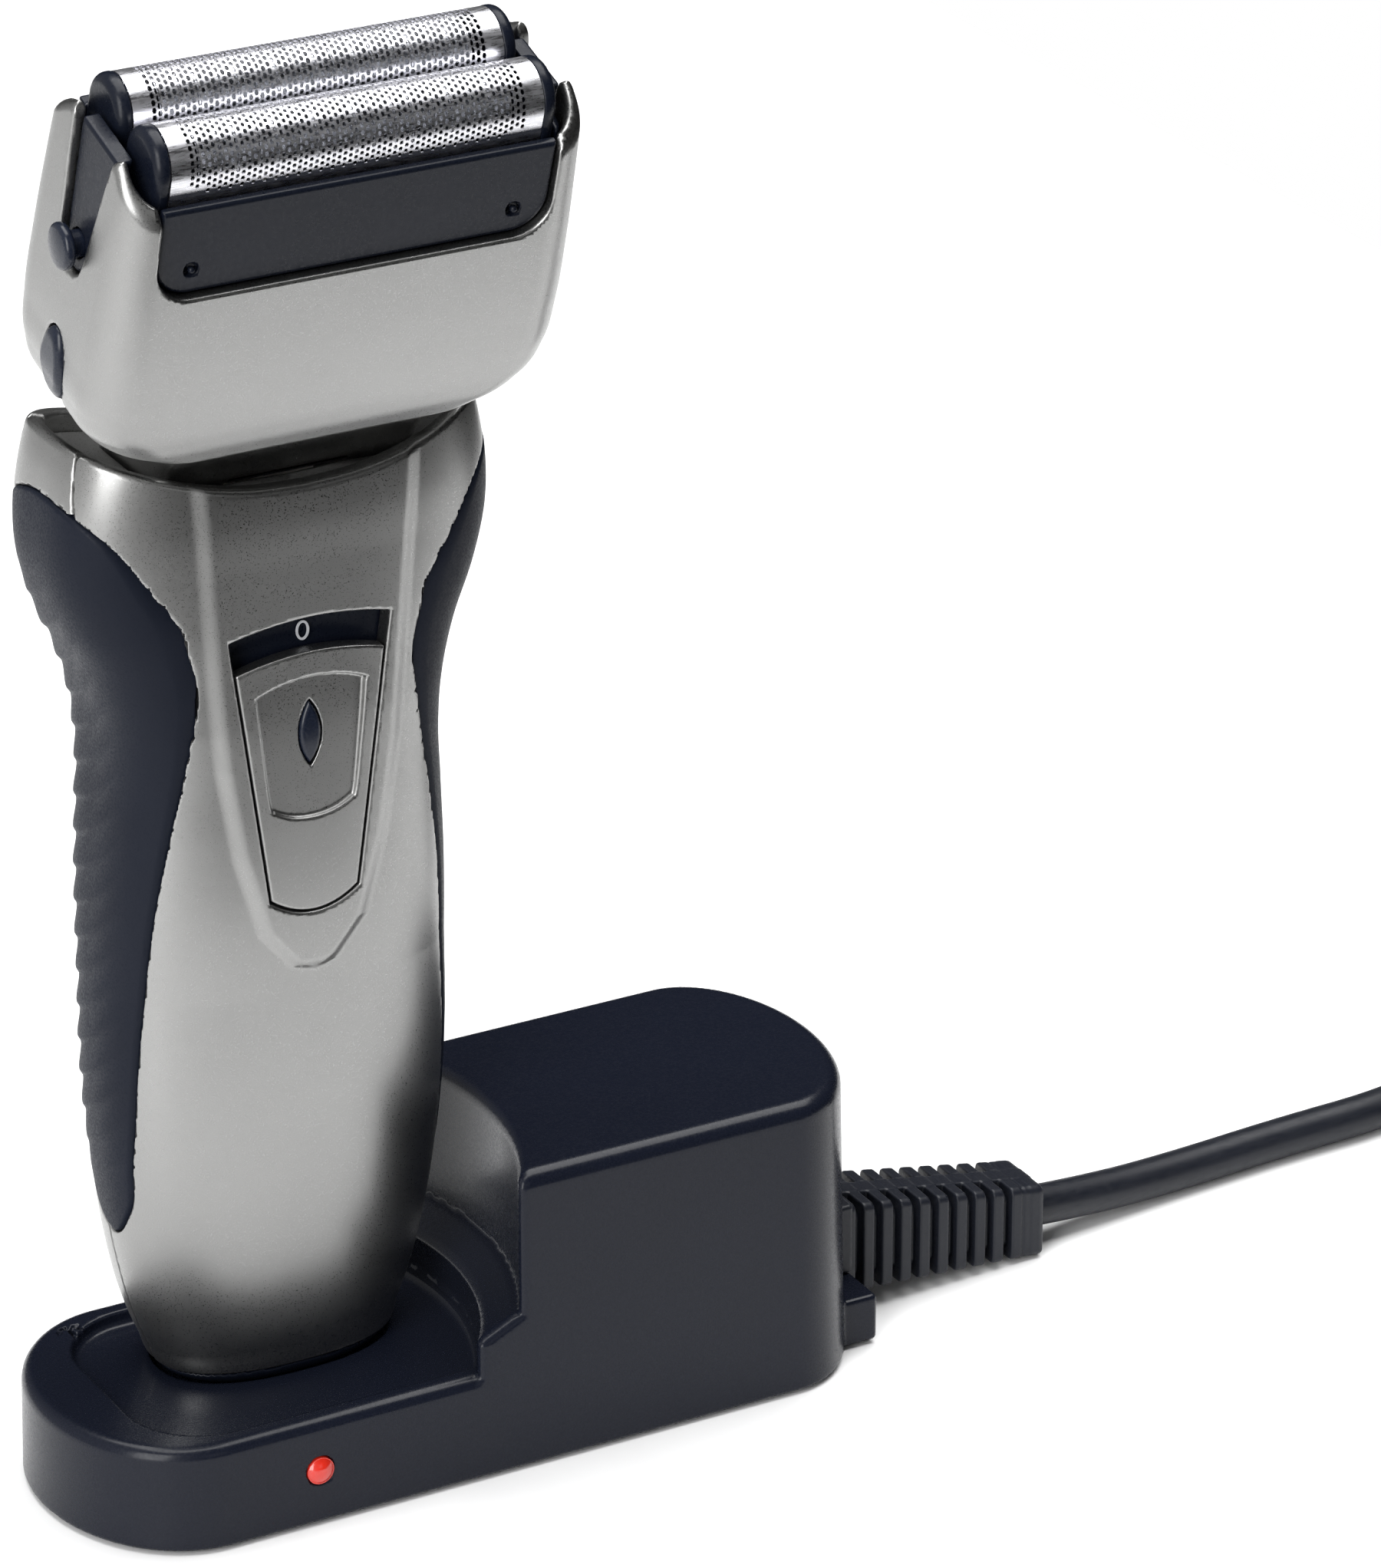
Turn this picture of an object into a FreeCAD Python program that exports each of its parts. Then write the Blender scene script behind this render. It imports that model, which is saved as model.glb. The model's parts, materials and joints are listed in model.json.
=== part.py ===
"""Two-foil shaver standing in its charging stand, as a parametric FreeCAD document.

Frame: millimetres, +Z up, +X along the stand from the handle to the tall block,
-Y towards the switch side. The origin is on the table, under the middle of the stand.
The head is built in its own frame, which leans forward: x, depth and height above
the point midway between the tops of the two foils.
"""
import FreeCAD, Part
import math
import os
import Sketcher
from FreeCAD import Placement, Rotation, Vector

doc = FreeCAD.newDocument("foil_shaver")

# ---------------------------------------------------------------- driving sizes

SIZES = {
    # stand
    "stand_length": 98, "stand_width": 36.6, "stand_draft": 0.7,
    "left_end": 14.6, "right_end": 12.2, "shell_foot": 0.4,
    "deck_height": 12.8, "block_height": 36.1, "stand_wall": 2.0,
    "well_x": -31.2, "well_y": 2.4, "hollow_radius": 37.9, "ledge_radius": 33.6,
    "ledge_height": 17.0, "floor_height": 11.2, "socket_floor": 9.3,
    "well_left": -41.0, "well_half_width": 15.2,
    "cover_thickness": 1.8, "cover_gap": 0.15, "foot_radius": 4.0,
    "screw_x": 41.0, "screw_y": 9.0, "screw_radius": 1.3, "boss_radius": 3.0,
    "lamp_x": -23.6, "lamp_height": 6.7, "lamp_radius": 1.6,
    # strain relief, cord and plug
    "relief_length": 28.5, "cord_radius": 2.45,
    "hank_x": 167, "hank_y": -2, "hank_run": 56, "hank_inner": 12.1, "hank_outer": 22.2,
    "hank_height": 19.8,
    "plug_length": 36, "plug_thickness": 13.7,
    "pin_radius": 2.0, "pin_length": 19, "pin_spacing": 18.6,
    # handle
    "handle_x": -18.6, "handle_y": 4.2, "wall": 2.0, "seam": 0.12, "cap_seam": 12.2, "grip_inner_edge": 12.6,
    # switch
    "slot_top": 104.1, "slot_bottom": 69.8, "slot_top_half": 9.45, "slot_bottom_half": 5.3,
    "plate_gap": 0.2, "switch_travel": 3.6, "plate_front": -9.75, "plate_thickness": 1.5,
    "lock_height": 90.5, "lock_half_width": 1.25, "lock_half_length": 3.7,
    # handle inside
    "cell_radius": 5.2, "cell_length": 44, "cell_bottom": 22, "cell_y": 4.9,
    "motor_radius": 7.4, "motor_length": 24, "motor_bottom": 77, "motor_y": 3.4,
    "shaft_radius": 1.0, "shaft_top": 117.5, "throw": 1.2,
    # head frame
    "head_y": -17.07, "head_z": 166.44, "head_tilt": 18.5,
    "foil_offset": 4.56, "foil_radius": 3.7, "foil_depth": 9.0, "foil_thickness": 0.3,
    "foil_half_length": 20.9, "blade_radius": 3.08,
    "frame_wall": 1.5, "knob_radius": 2.5, "knob_height": -16.2,
    # trimmer
    "trimmer_pivot_y": 15.2, "trimmer_pivot_z": 84, "trimmer_half_width": 8.5,
}

sheet = doc.addObject("Spreadsheet::Sheet", "Sizes")
for row, (alias, number) in enumerate(SIZES.items(), 1):
    sheet.set("A%d" % row, alias)
    sheet.set("B%d" % row, str(number))
    sheet.setAlias("B%d" % row, alias)
doc.recompute()


def size(alias):
    """A driving size, read back from the sheet."""
    return float(getattr(sheet, alias))


# ---------------------------------------------------------------- helpers

NODES = []


def node(item, label):
    """Give an object its node name and put it on the list to write."""
    item.Label = label
    NODES.append(item)
    return item


def bind(item, formulas):
    """Bind properties of an object to formulas on the sheet."""
    for prop, formula in formulas.items():
        item.setExpression(prop, formula)
    return item


def stand_at(item, x="0", y="0", z="0", axis=None, angle=0):
    """Place an object: position by formula, and a fixed turn about one axis."""
    if axis:
        item.Placement = Placement(Vector(), Rotation(Vector(*axis), angle))
    return bind(item, {"Placement.Base.x": x, "Placement.Base.y": y, "Placement.Base.z": z})


def box(name, length, width, height, x, y, z):
    """A block given by its sizes and its lowest corner, all as formulas."""
    item = bind(doc.addObject("Part::Box", name), {"Length": length, "Width": width, "Height": height})
    return stand_at(item, x, y, z)


def rod(name, radius, height, x, y, z, axis=None, angle=0):
    """A cylinder given by formulas, upright unless it is turned."""
    item = bind(doc.addObject("Part::Cylinder", name), {"Radius": radius, "Height": height})
    return stand_at(item, x, y, z, axis, angle)


def cut(name, base, *tools):
    """The base with each tool taken away."""
    for tool in tools:
        item = doc.addObject("Part::Cut", name)
        item.Base = base
        item.Tool = tool
        base = item
    return base


def fuse(name, *shapes):
    """Several objects joined into one."""
    item = doc.addObject("Part::MultiFuse", name)
    item.Shapes = list(shapes)
    item.Refine = True
    return item


def feature(name, shape, placement=None):
    """A plain shape as an object of the document."""
    item = doc.addObject("Part::Feature", name)
    item.Shape = shape
    if placement:
        item.Placement = placement
    return item


def origin_plane(body, role):
    return next(plane for plane in body.Origin.OriginFeatures if plane.Role == role)


def new_sketch(body, role, name):
    sketch = body.newObject("Sketcher::SketchObject", name)
    sketch.AttachmentSupport = [(origin_plane(body, role), "")]
    sketch.MapMode = "FlatFace"
    return sketch


def rectangle(sketch, width, height):
    """A rectangle centred on the sketch's origin, its sizes bound to formulas."""
    corners = [Vector(-1, -1, 0), Vector(1, -1, 0), Vector(1, 1, 0), Vector(-1, 1, 0)]
    for start, end in zip(corners, corners[1:] + corners[:1]):
        sketch.addGeometry(Part.LineSegment(start, end), False)
    for side in range(4):
        sketch.addConstraint(Sketcher.Constraint("Coincident", side, 2, (side + 1) % 4, 1))
    for side, kind in enumerate(("Horizontal", "Vertical", "Horizontal", "Vertical")):
        sketch.addConstraint(Sketcher.Constraint(kind, side))
    sketch.addConstraint(Sketcher.Constraint("Symmetric", 0, 1, 1, 2, -1, 1))
    wide = sketch.addConstraint(Sketcher.Constraint("DistanceX", 0, 1, 0, 2, 2))
    tall = sketch.addConstraint(Sketcher.Constraint("DistanceY", 1, 1, 1, 2, 2))
    sketch.setExpression("Constraints[%d]" % wide, width)
    sketch.setExpression("Constraints[%d]" % tall, height)


def padded_body(name, outline, sizes, length, x="0", y="0", z="0", role="XY_Plane"):
    """A PartDesign body: one outline padded by a formula."""
    body = doc.addObject("PartDesign::Body", name)
    sketch = new_sketch(body, role, name + "_sketch")
    outline(sketch, *sizes)
    pad = body.newObject("PartDesign::Pad", name + "_pad")
    pad.Profile = sketch
    pad.setExpression("Length", length)
    sketch.Visibility = False
    return stand_at(body, x, y, z)


def smooth_wire(points, closed=True):
    """A smooth curve through points, as a wire."""
    curve = Part.BSplineCurve()
    curve.interpolate([Vector(*point) for point in points], PeriodicFlag=closed)
    return Part.Wire(curve.toShape())


def polygon_wire(points):
    return Part.makePolygon([Vector(*point) for point in points + points[:1]])


def prism(wire, direction):
    """The solid swept by a flat closed wire along a direction."""
    return Part.Face(wire).extrude(Vector(*direction))


def block(x0, x1, y0, y1, z0, z1):
    """A plain block between two corners."""
    return Part.makeBox(x1 - x0, y1 - y0, z1 - z0, Vector(x0, y0, z0))


def cylinder(radius, height, base, direction=(0, 0, 1)):
    return Part.makeCylinder(radius, height, Vector(*base), Vector(*direction))


def capsule_wire(half_width, front, back, corner, height):
    """A level rectangle with round corners, from front to back, as a wire."""
    corner = min(corner, half_width * 0.98, (back - front) / 2 * 0.98)
    spots = [(half_width - corner, back - corner, 0), (-half_width + corner, back - corner, 90),
             (-half_width + corner, front + corner, 180), (half_width - corner, front + corner, 270)]
    arcs = []
    for x, y, start in spots:
        angles = [math.radians(start + step) for step in (0, 45, 90)]
        arcs.append([Vector(x + corner * math.cos(a), y + corner * math.sin(a), height) for a in angles])
    edges = []
    for arc, following in zip(arcs, arcs[1:] + arcs[:1]):
        edges.append(Part.Arc(*arc).toShape())
        edges.append(Part.makeLine(arc[2], following[0]))
    return Part.Wire(edges)


HEAD = Placement(
    Vector(size("handle_x"), size("head_y"), size("head_z")),
    Rotation(Vector(1, 0, 0), size("head_tilt")),
)


# ---------------------------------------------------------------- stand


def stand_outline(height, inset=0.0):
    """The stand's plan: two straight sides and two half-elliptical ends."""
    draft = size("stand_draft") * height / size("block_height")
    half_width = size("stand_width") / 2 - draft - inset
    left = -size("stand_length") / 2 + size("left_end")
    right = size("stand_length") / 2 - size("right_end")
    ends = []
    for x, reach, side in ((left, size("left_end"), -1), (right, size("right_end"), 1)):
        centre = Vector(x, 0, height)
        across = Vector(0, -side * half_width, 0)
        along = Vector(side * (reach - draft - inset), 0, 0)
        ellipse = Part.Ellipse(centre + across, centre + along, centre)
        ends.append(Part.ArcOfEllipse(ellipse, 0, math.pi).toShape())
    front = Part.makeLine(Vector(left, -half_width, height), Vector(right, -half_width, height))
    back = Part.makeLine(Vector(right, half_width, height), Vector(left, half_width, height))
    return Part.Wire([ends[0], front, ends[1], back])


def stand_solid(bottom, top, inset=0.0):
    return Part.makeLoft([stand_outline(bottom, inset), stand_outline(top, inset)], True)


def foot_section(inset, height):
    """The handle's foot outline, grown or shrunk, at a height of its own."""
    return handle_section(size("floor_height"), inset, height)


def make_stand_shell():
    wall = size("stand_wall")
    top = size("block_height")
    centre = (size("well_x"), size("well_y"))
    body = stand_solid(size("shell_foot"), top)
    body = body.makeFillet(1.6, [edge for edge in body.Edges if edge.BoundBox.ZMin > top - 0.1])
    hollow = cylinder(size("hollow_radius"), top, (*centre, size("ledge_height") + 2.4))
    ledge_slope = Part.makeCone(size("ledge_radius"), size("hollow_radius"), 2.4,
                                Vector(*centre, size("ledge_height")), Vector(0, 0, 1))
    ledge = cylinder(size("ledge_radius"), top, (*centre, size("deck_height")))
    well_plan = block(size("well_left"), 10, -size("well_half_width"), size("well_half_width"),
                      size("floor_height"), top)
    upright = [edge for edge in well_plan.Edges
               if edge.BoundBox.ZLength > 1 and edge.BoundBox.XMax < 0]
    well = well_plan.makeFillet(9.0, upright).common(
        cylinder(size("ledge_radius"), top, (*centre, size("floor_height"))))
    body = body.cut(hollow.fuse([ledge_slope, ledge, well]))
    socket = Part.makeLoft([foot_section(0.5, size("socket_floor")),
                            foot_section(0.5, size("floor_height") + 1)], True)
    body = body.cut(socket)
    low_room = stand_solid(-1, size("socket_floor") - wall, wall)
    high_room = stand_solid(size("socket_floor") - wall - 0.01, top - wall, wall).cut(
        cylinder(size("hollow_radius") + wall, top, (*centre, 0)))
    body = body.cut(low_room.fuse(high_room))
    for x, y in screw_spots():
        boss_top = size("socket_floor") - wall + 0.2 if x < 0 else top - wall + 0.2
        boss = cylinder(size("boss_radius"), boss_top - cover_top(), (x, y, cover_top()))
        hole = cylinder(size("screw_radius") - 0.02, 6.2, (x, y, cover_top() - 1))
        body = body.fuse(boss).cut(hole)
    lamp_hole = cylinder(size("lamp_radius") + 0.05, 8, (size("lamp_x"), -20, size("lamp_height")),
                         (0, 1, 0))
    bracket = block(44, 50.4, -12, 12, size("shell_foot"), 6.2).cut(
        stand_solid(-1, 10, 0.6))
    return body.cut(lamp_hole).fuse(bracket).removeSplitter()


def cover_top():
    return size("shell_foot") + size("cover_thickness")


def screw_spots():
    return [(side * size("screw_x"), face * size("screw_y")) for side in (-1, 1) for face in (-1, 1)]


def make_bottom_cover():
    inset = size("stand_wall") + size("cover_gap")
    cover = stand_solid(size("shell_foot"), cover_top(), inset)
    for x, y in screw_spots():
        cover = cover.cut(cylinder(size("screw_radius") + 0.3, 5, (x, y, 0)))
        cover = cover.cut(cylinder(2.7, 1.5, (x, y, 0)))
    return cover


def make_stand_screws():
    screws = []
    for x, y in screw_spots():
        shank = cylinder(size("screw_radius") - 0.02, 5.2, (x, y, 1.2))
        head = cylinder(2.5, 0.8, (x, y, 0.65)).cut(block(x - 3, x + 3, y - 0.3, y + 0.3, 0, 1.0))
        screws.append(head.fuse(shank).removeSplitter())
    return Part.makeCompound(screws)


def make_stand_feet():
    pads = [cylinder(size("foot_radius"), size("shell_foot"), (side * 41.0, 0, 0)) for side in (-1, 1)]
    strip = block(-3, 3, -14, 14, 0, size("shell_foot"))
    strip = strip.makeFillet(2.0, [edge for edge in strip.Edges if edge.BoundBox.ZLength > 0.1])
    return Part.makeCompound(pads + [strip])


def make_charge_lamp():
    stem = cylinder(size("lamp_radius"), 4.2, (size("lamp_x"), -18.2, size("lamp_height")), (0, 1, 0))
    dome = Part.makeSphere(2.0, Vector(size("lamp_x"), -16.9, size("lamp_height")))
    dome = dome.common(cylinder(size("lamp_radius"), 3.0,
                                (size("lamp_x"), -20.5, size("lamp_height")), (0, 1, 0)))
    return stem.fuse(dome).removeSplitter()


def make_charging_coil():
    outer = prism(smooth_wire(ellipse_points(15.5, 9.8, 4.6)), (0, 0, 2.2))
    inner = prism(smooth_wire(ellipse_points(9.0, 4.6, 4.6)), (0, 0, 2.2))
    return outer.cut(inner)


def ellipse_points(half_width, half_depth, height, count=16):
    """Points round an ellipse about the handle's axis."""
    turns = [2 * math.pi * step / count for step in range(count)]
    return [(size("handle_x") + half_width * math.cos(a), size("handle_y") + half_depth * math.sin(a),
             height) for a in turns]


def make_strain_relief():
    """Tapered ribbed boot that droops from the block to the cord."""
    root, length = 49.4, size("relief_length")
    root_z, tip_z = 8.7, 4.65
    root_flange = block(root - 0.9, root + 1.2, -6.2, 6.2, 6.3, 15.0)
    sections = []
    for along in (0.0, 1.0):
        centre = root_z + (tip_z - root_z) * along
        tall, wide = 4.3 - 1.0 * along, 3.9 - 0.9 * along
        x = root + length * along
        y = 0.7 * along
        sections.append(polygon_wire([(x, y - wide, centre - tall), (x, y + wide, centre - tall),
                                      (x, y + wide, centre + tall), (x, y - wide, centre + tall)]))
    relief = Part.makeLoft(sections, True)
    count = 11
    for number in range(count):
        along = (number + 0.55) / count
        centre = root_z + (tip_z - root_z) * along
        tall, wide = 5.8 - 1.3 * along, 5.2 - 1.0 * along
        x = root + length * along
        rib = block(x - 0.75, x + 0.75, 0.7 * along - wide, 0.7 * along + wide,
                    centre - tall, centre + tall)
        relief = relief.fuse(rib)
    spine = Part.makeLoft([
        polygon_wire([(root, -1.3, 14.4), (root, 1.3, 14.4), (root, 1.3, 9), (root, -1.3, 9)]),
        polygon_wire([(root + length, -0.6, 9.1), (root + length, 2.0, 9.1),
                      (root + length, 2.0, 5), (root + length, -0.6, 5)])], True)
    return relief.fuse([root_flange, spine]).removeSplitter()


# ---------------------------------------------------------------- cord and plug

# Centre line of the mains cord from the strain relief to the hank, chosen by hand.
CORD_ROUTE = [(77.4, 0.6, 4.7), (88, 1.8, 3.25), (101, 3.3, 2.5), (116, 4.6, 2.46), (131, 5.0, 2.46),
              (143, 8.0, 2.46), (152, 13.4, 2.46), (162, 17.0, 2.46)]
# Centre line of the short lead from the top of the hank down to the plug.
LEAD_ROUTE = [(215, 17.6, 17.1), (231, 17.3, 17.05), (246, 12.3, 11.0), (258, 7.9, 7.25),
              (270, 7.3, 6.9)]


def tube(route, radius):
    """A round tube along straight runs joined by tangent arcs; prints each arc's radius."""
    points = [Vector(*point) for point in route]
    edges = []
    start = points[0]
    for before, corner, after in zip(points, points[1:], points[2:]):
        arriving = (corner - before).normalize()
        leaving = (after - corner).normalize()
        turn = arriving.getAngle(leaving)
        reach = 0.45 * min((corner - before).Length, (after - corner).Length)
        bend = reach / math.tan(turn / 2)
        print("cord arc radius %.1f" % bend)
        first = corner - arriving * reach
        last = corner + leaving * reach
        inward = (leaving - arriving).normalize()
        middle = corner + inward * (bend / math.cos(turn / 2) - bend)
        edges.append(Part.LineSegment(start, first).toShape())
        edges.append(Part.Arc(first, middle, last).toShape())
        start = last
    edges.append(Part.LineSegment(start, points[-1]).toShape())
    path = Part.Wire(edges)
    profile = Part.Wire(Part.makeCircle(radius, points[0], points[1] - points[0]))
    solid = path.makePipeShell([profile], True, True)
    expected = math.pi * radius ** 2 * path.Length
    print("cord length %.1f volume ratio %.4f" % (path.Length, solid.Volume / expected))
    return solid


def hank_wire(radius):
    """A long loop of two straight runs and two round ends, level, at the given end radius."""
    left, right = size("hank_x"), size("hank_x") + size("hank_run")
    front, back = size("hank_y") - radius, size("hank_y") + radius
    middle = size("hank_y")
    return Part.Wire([
        Part.makeLine(Vector(left, front, 0), Vector(right, front, 0)),
        Part.Arc(Vector(right, front, 0), Vector(right + radius, middle, 0),
                 Vector(right, back, 0)).toShape(),
        Part.makeLine(Vector(right, back, 0), Vector(left, back, 0)),
        Part.Arc(Vector(left, back, 0), Vector(left - radius, middle, 0),
                 Vector(left, front, 0)).toShape()])


def make_cord_coil():
    """The outer shape of the folded cord: a long ring with rounded edges."""
    up = (0, 0, size("hank_height"))
    ring = prism(hank_wire(size("hank_outer")), up).cut(prism(hank_wire(size("hank_inner")), up))
    return ring.makeFillet(2.2, [edge for edge in ring.Edges if edge.BoundBox.ZLength < 0.01])


def plug_frame():
    """The plug lies on its flat side, pointing along +X."""
    return Vector(LEAD_ROUTE[-1][0], LEAD_ROUTE[-1][1], size("plug_thickness") / 2)


def make_plug():
    tail = plug_frame()
    sections = []
    for along, wide, thick in ((0, 9, 9), (9, 14, 11), (18, 26, 13.7), (36, 26, 13.7)):
        reach = along * size("plug_length") / 36
        wire = capsule_wire(wide / 2, -thick / 2, thick / 2, 3.2, 0)
        wire.Placement = Placement(Vector(tail.x + reach, tail.y, tail.z),
                                   Rotation(Vector(0, 0, 1), 90) * Rotation(Vector(1, 0, 0), 90))
        sections.append(wire)
    return Part.makeLoft(sections, True, True)


def make_plug_pins():
    tail = plug_frame()
    pins = []
    for side in (-1, 1):
        base = (tail.x + size("plug_length"), tail.y + side * size("pin_spacing") / 2, tail.z)
        pin = cylinder(size("pin_radius"), size("pin_length"), base, (1, 0, 0))
        tip = [edge for edge in pin.Edges if edge.BoundBox.XMin > base[0] + size("pin_length") - 0.1]
        pins.append(pin.makeFillet(1.2, tip))
    return Part.makeCompound(pins)


# ---------------------------------------------------------------- handle skin

# height, half width, front and back of the handle's level sections
HANDLE_SECTIONS = [
    (9.6, 10.5, -1.6, 10.6), (11.2, 13.2, -3.4, 12.6), (15, 15.2, -4.4, 14.0), (20, 17.0, -5.2, 14.8),
    (27, 18.6, -6.2, 15.4), (37, 19.9, -7.4, 15.8), (47, 20.6, -8.2, 16.2), (58, 20.6, -8.8, 16.6),
    (70, 20.2, -9.4, 16.9), (79, 19.6, -9.6, 17.0), (86, 19.2, -9.7, 17.0), (92, 19.6, -9.8, 17.1),
    (98, 21.2, -9.8, 17.3), (104, 23.7, -9.9, 17.5), (110, 25.2, -10.1, 17.6), (116, 25.2, -10.4, 17.6),
    (121, 24.4, -10.4, 17.2), (126, 23.0, -10.2, 16.4),
]


def squareness(height):
    """How square the handle's section is: round below, flatter in front of the motor."""
    blend = min(max((height - 60) / 32, 0), 1)
    return 2.4 + 0.7 * blend


def section_sizes(height):
    """Half width, front and back of the handle at any height, by straight interpolation."""
    for low, high in zip(HANDLE_SECTIONS, HANDLE_SECTIONS[1:]):
        if height <= high[0]:
            break
    part = (height - low[0]) / (high[0] - low[0])
    return [a + (b - a) * part for a, b in zip(low[1:], high[1:])]


def handle_section(height, grow=0.0, at_height=None):
    """A closed level section of the handle, grown outwards or shrunk."""
    half_width, front, back = section_sizes(height)
    half_width += grow
    middle, half_depth = (front + back) / 2, (back - front) / 2 + grow
    power = 2 / squareness(height)
    points = []
    for step in range(24):
        turn = 2 * math.pi * step / 24
        x = half_width * math.copysign(abs(math.cos(turn)) ** power, math.cos(turn))
        y = half_depth * math.copysign(abs(math.sin(turn)) ** power, math.sin(turn))
        points.append((size("handle_x") + x, middle + y, height if at_height is None else at_height))
    return smooth_wire(points)


def handle_solid(grow=0.0, bottom=0.0, top=200.0):
    """The handle's outer form, or the same form shrunk for its inside."""
    wires = [handle_section(row[0], grow) for row in HANDLE_SECTIONS if bottom <= row[0] <= top]
    return Part.makeLoft(wires, True)


def rim_cutter():
    """The saddle above the handle's rim, low in front and behind and high at the sides."""
    x = size("handle_x")
    points = [(-40, 131), (-26, 125.6), (-20, 123.4), (-13, 121.2), (-6.5, 119.9), (0, 119.5),
              (6.5, 119.9), (13, 121.2), (20, 123.4), (26, 125.6), (40, 131)]
    curve = Part.BSplineCurve()
    curve.interpolate([Vector(x + px, -40, pz) for px, pz in points])
    ends = [Vector(x + points[-1][0], -40, 160), Vector(x + points[0][0], -40, 160)]
    edges = [curve.toShape(), Part.makeLine(curve.EndPoint, ends[0]), Part.makeLine(*ends),
             Part.makeLine(ends[1], curve.StartPoint)]
    return prism(Part.Wire(edges), (0, 90, 0))


# side-view outline of the grip: depth and height, from its lower tip up the front and down the back
GRIP_OUTLINE = [(3.0, 30.1), (-0.3, 34.2), (-1.3, 40), (-2.3, 47), (-3.6, 60), (-6.3, 79.5), (-8.3, 94),
                (-8.65, 102.3), (-8.5, 107.2), (-7.2, 113.9), (-4.4, 117.1), (0.6, 118.5), (6.5, 117.9),
                (11.6, 115.2), (14.0, 108), (14.4, 98), (13.2, 86), (11.6, 72), (10.6, 56), (9.2, 42),
                (7.2, 33.4)]


def grip_prism(grow):
    """Everything inside the grip's side-view outline, grown by a seam width, beside the front panel."""
    centre = Vector(0, 3.5, 78)
    points = []
    for depth, height in GRIP_OUTLINE:
        away = Vector(0, depth, height) - centre
        away.z *= 0.25
        away.normalize()
        points.append((-80, depth + away.y * grow, height + away.z * grow))
    x, inner = size("handle_x"), size("grip_inner_edge") - grow
    return prism(smooth_wire(points), (120, 0, 0)).cut(block(x - inner, x + inner, -60, 60, 0, 200))


def shoulder_prism(grow):
    """Everything inside the shoulder piece's side-view outline, from the grip up to the rim."""
    points = [(-3.6, 117.4), (-1.6, 132), (9.4, 132), (11.4, 115.6)]
    spread = [(-80, depth + (grow if depth > 0 else -grow), height) for depth, height in points]
    return prism(polygon_wire(spread), (120, 0, 0))


def slot_wire(gap, top, bottom, y):
    """The switch opening: straight sides that converge downwards between two arcs."""
    span = size("slot_top") - size("slot_bottom") - 3.2
    slope = (size("slot_top_half") - size("slot_bottom_half")) / span

    def half(height):
        return size("slot_bottom_half") + (height - size("slot_bottom") - 1.9) * slope - gap

    x = size("handle_x")
    high, low = top - 1.3, bottom + 1.9
    corners = [Vector(x - half(low), y, low), Vector(x + half(low), y, low),
               Vector(x + half(high), y, high), Vector(x - half(high), y, high)]
    return Part.Wire([
        Part.Arc(corners[0], Vector(x, y, bottom), corners[1]).toShape(),
        Part.makeLine(corners[1], corners[2]),
        Part.Arc(corners[2], Vector(x, y, top), corners[3]).toShape(),
        Part.makeLine(corners[3], corners[0])])


def handle_shells():
    """Cut the handle's skin into its panels, grips, shoulders and foot cap."""
    seam = size("seam")
    wall = size("wall")
    x, split = size("handle_x"), size("handle_y")
    outer = handle_solid().cut(rim_cutter())
    inner = handle_solid(-wall, 15)
    skin = outer.cut(inner)
    cap = outer.common(block(-80, 80, -60, 60, 0, size("cap_seam") - seam / 2))
    cap = cap.cut(handle_solid(-wall, 11).common(block(-80, 80, -60, 60, 11.3, 40)))
    skin = skin.common(block(-80, 80, -60, 60, size("cap_seam") + seam / 2, 160))
    upper_floor = block(-80, 80, -60, 60, size("cap_seam"), 15)
    skin = skin.cut(handle_solid(-wall, 11).common(upper_floor))
    grip_band = skin.common(grip_prism(-seam / 2))
    shoulder_band = skin.cut(grip_prism(seam / 2)).common(shoulder_prism(-seam / 2))
    panels = skin.cut(grip_prism(seam / 2)).cut(shoulder_prism(seam / 2))
    front_room = block(-80, 80, -60, split - seam / 2, 0, 200)
    rear_room = block(-80, 80, split + seam / 2, 60, 0, 200)
    front = panels.common(front_room)
    rear = panels.common(rear_room)
    slot = prism(slot_wire(0, size("slot_top"), size("slot_bottom"), -30), (0, 30, 0))
    front = front.cut(slot)
    rear = rear.cut(trimmer_room())
    left = block(-80, x, -60, 60, 0, 200)
    right = block(x, 80, -60, 60, 0, 200)
    return {
        "front_panel": front, "rear_panel": rear, "foot_cap": cap,
        "left_grip": grip_band.common(left), "right_grip": grip_band.common(right),
        "left_shoulder": shoulder_band.common(left), "right_shoulder": shoulder_band.common(right),
    }


def biggest(shape):
    """The largest solid of a shape, without any sliver."""
    return max(shape.Solids, key=lambda solid: solid.Volume)


def make_collar():
    """A dished ring that closes the top of the handle around the neck."""
    room = handle_solid(-size("wall") - size("seam"), 100)
    dish = room.cut(rim_cutter().translated(Vector(0, 0, -2.2)))
    dish = dish.common(block(-80, 80, -60, 60, 112.5, 130))
    under = room.cut(rim_cutter().translated(Vector(0, 0, -3.8))).common(
        block(-80, 80, -60, 60, 100, 130))
    return dish.cut(under).cut(neck_form(0.25))


def neck_form(grow, bottom=-62):
    """The neck's outer form in the object's frame: it leans with the head."""
    rows = [(bottom, 14.0, -1.0, 11.0), (-50, 14.8, -3.4, 10.2), (-45, 15.2, -5.0, 8.8),
            (-41.5, 15.2, -6.2, 6.9), (-33, 14.6, -6.2, 6.2)]
    wires = [capsule_wire(half + grow, front - grow, back + grow, 4.5, height)
             for height, half, front, back in rows]
    form = Part.makeLoft(wires, True)
    form.Placement = HEAD
    return form


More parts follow.
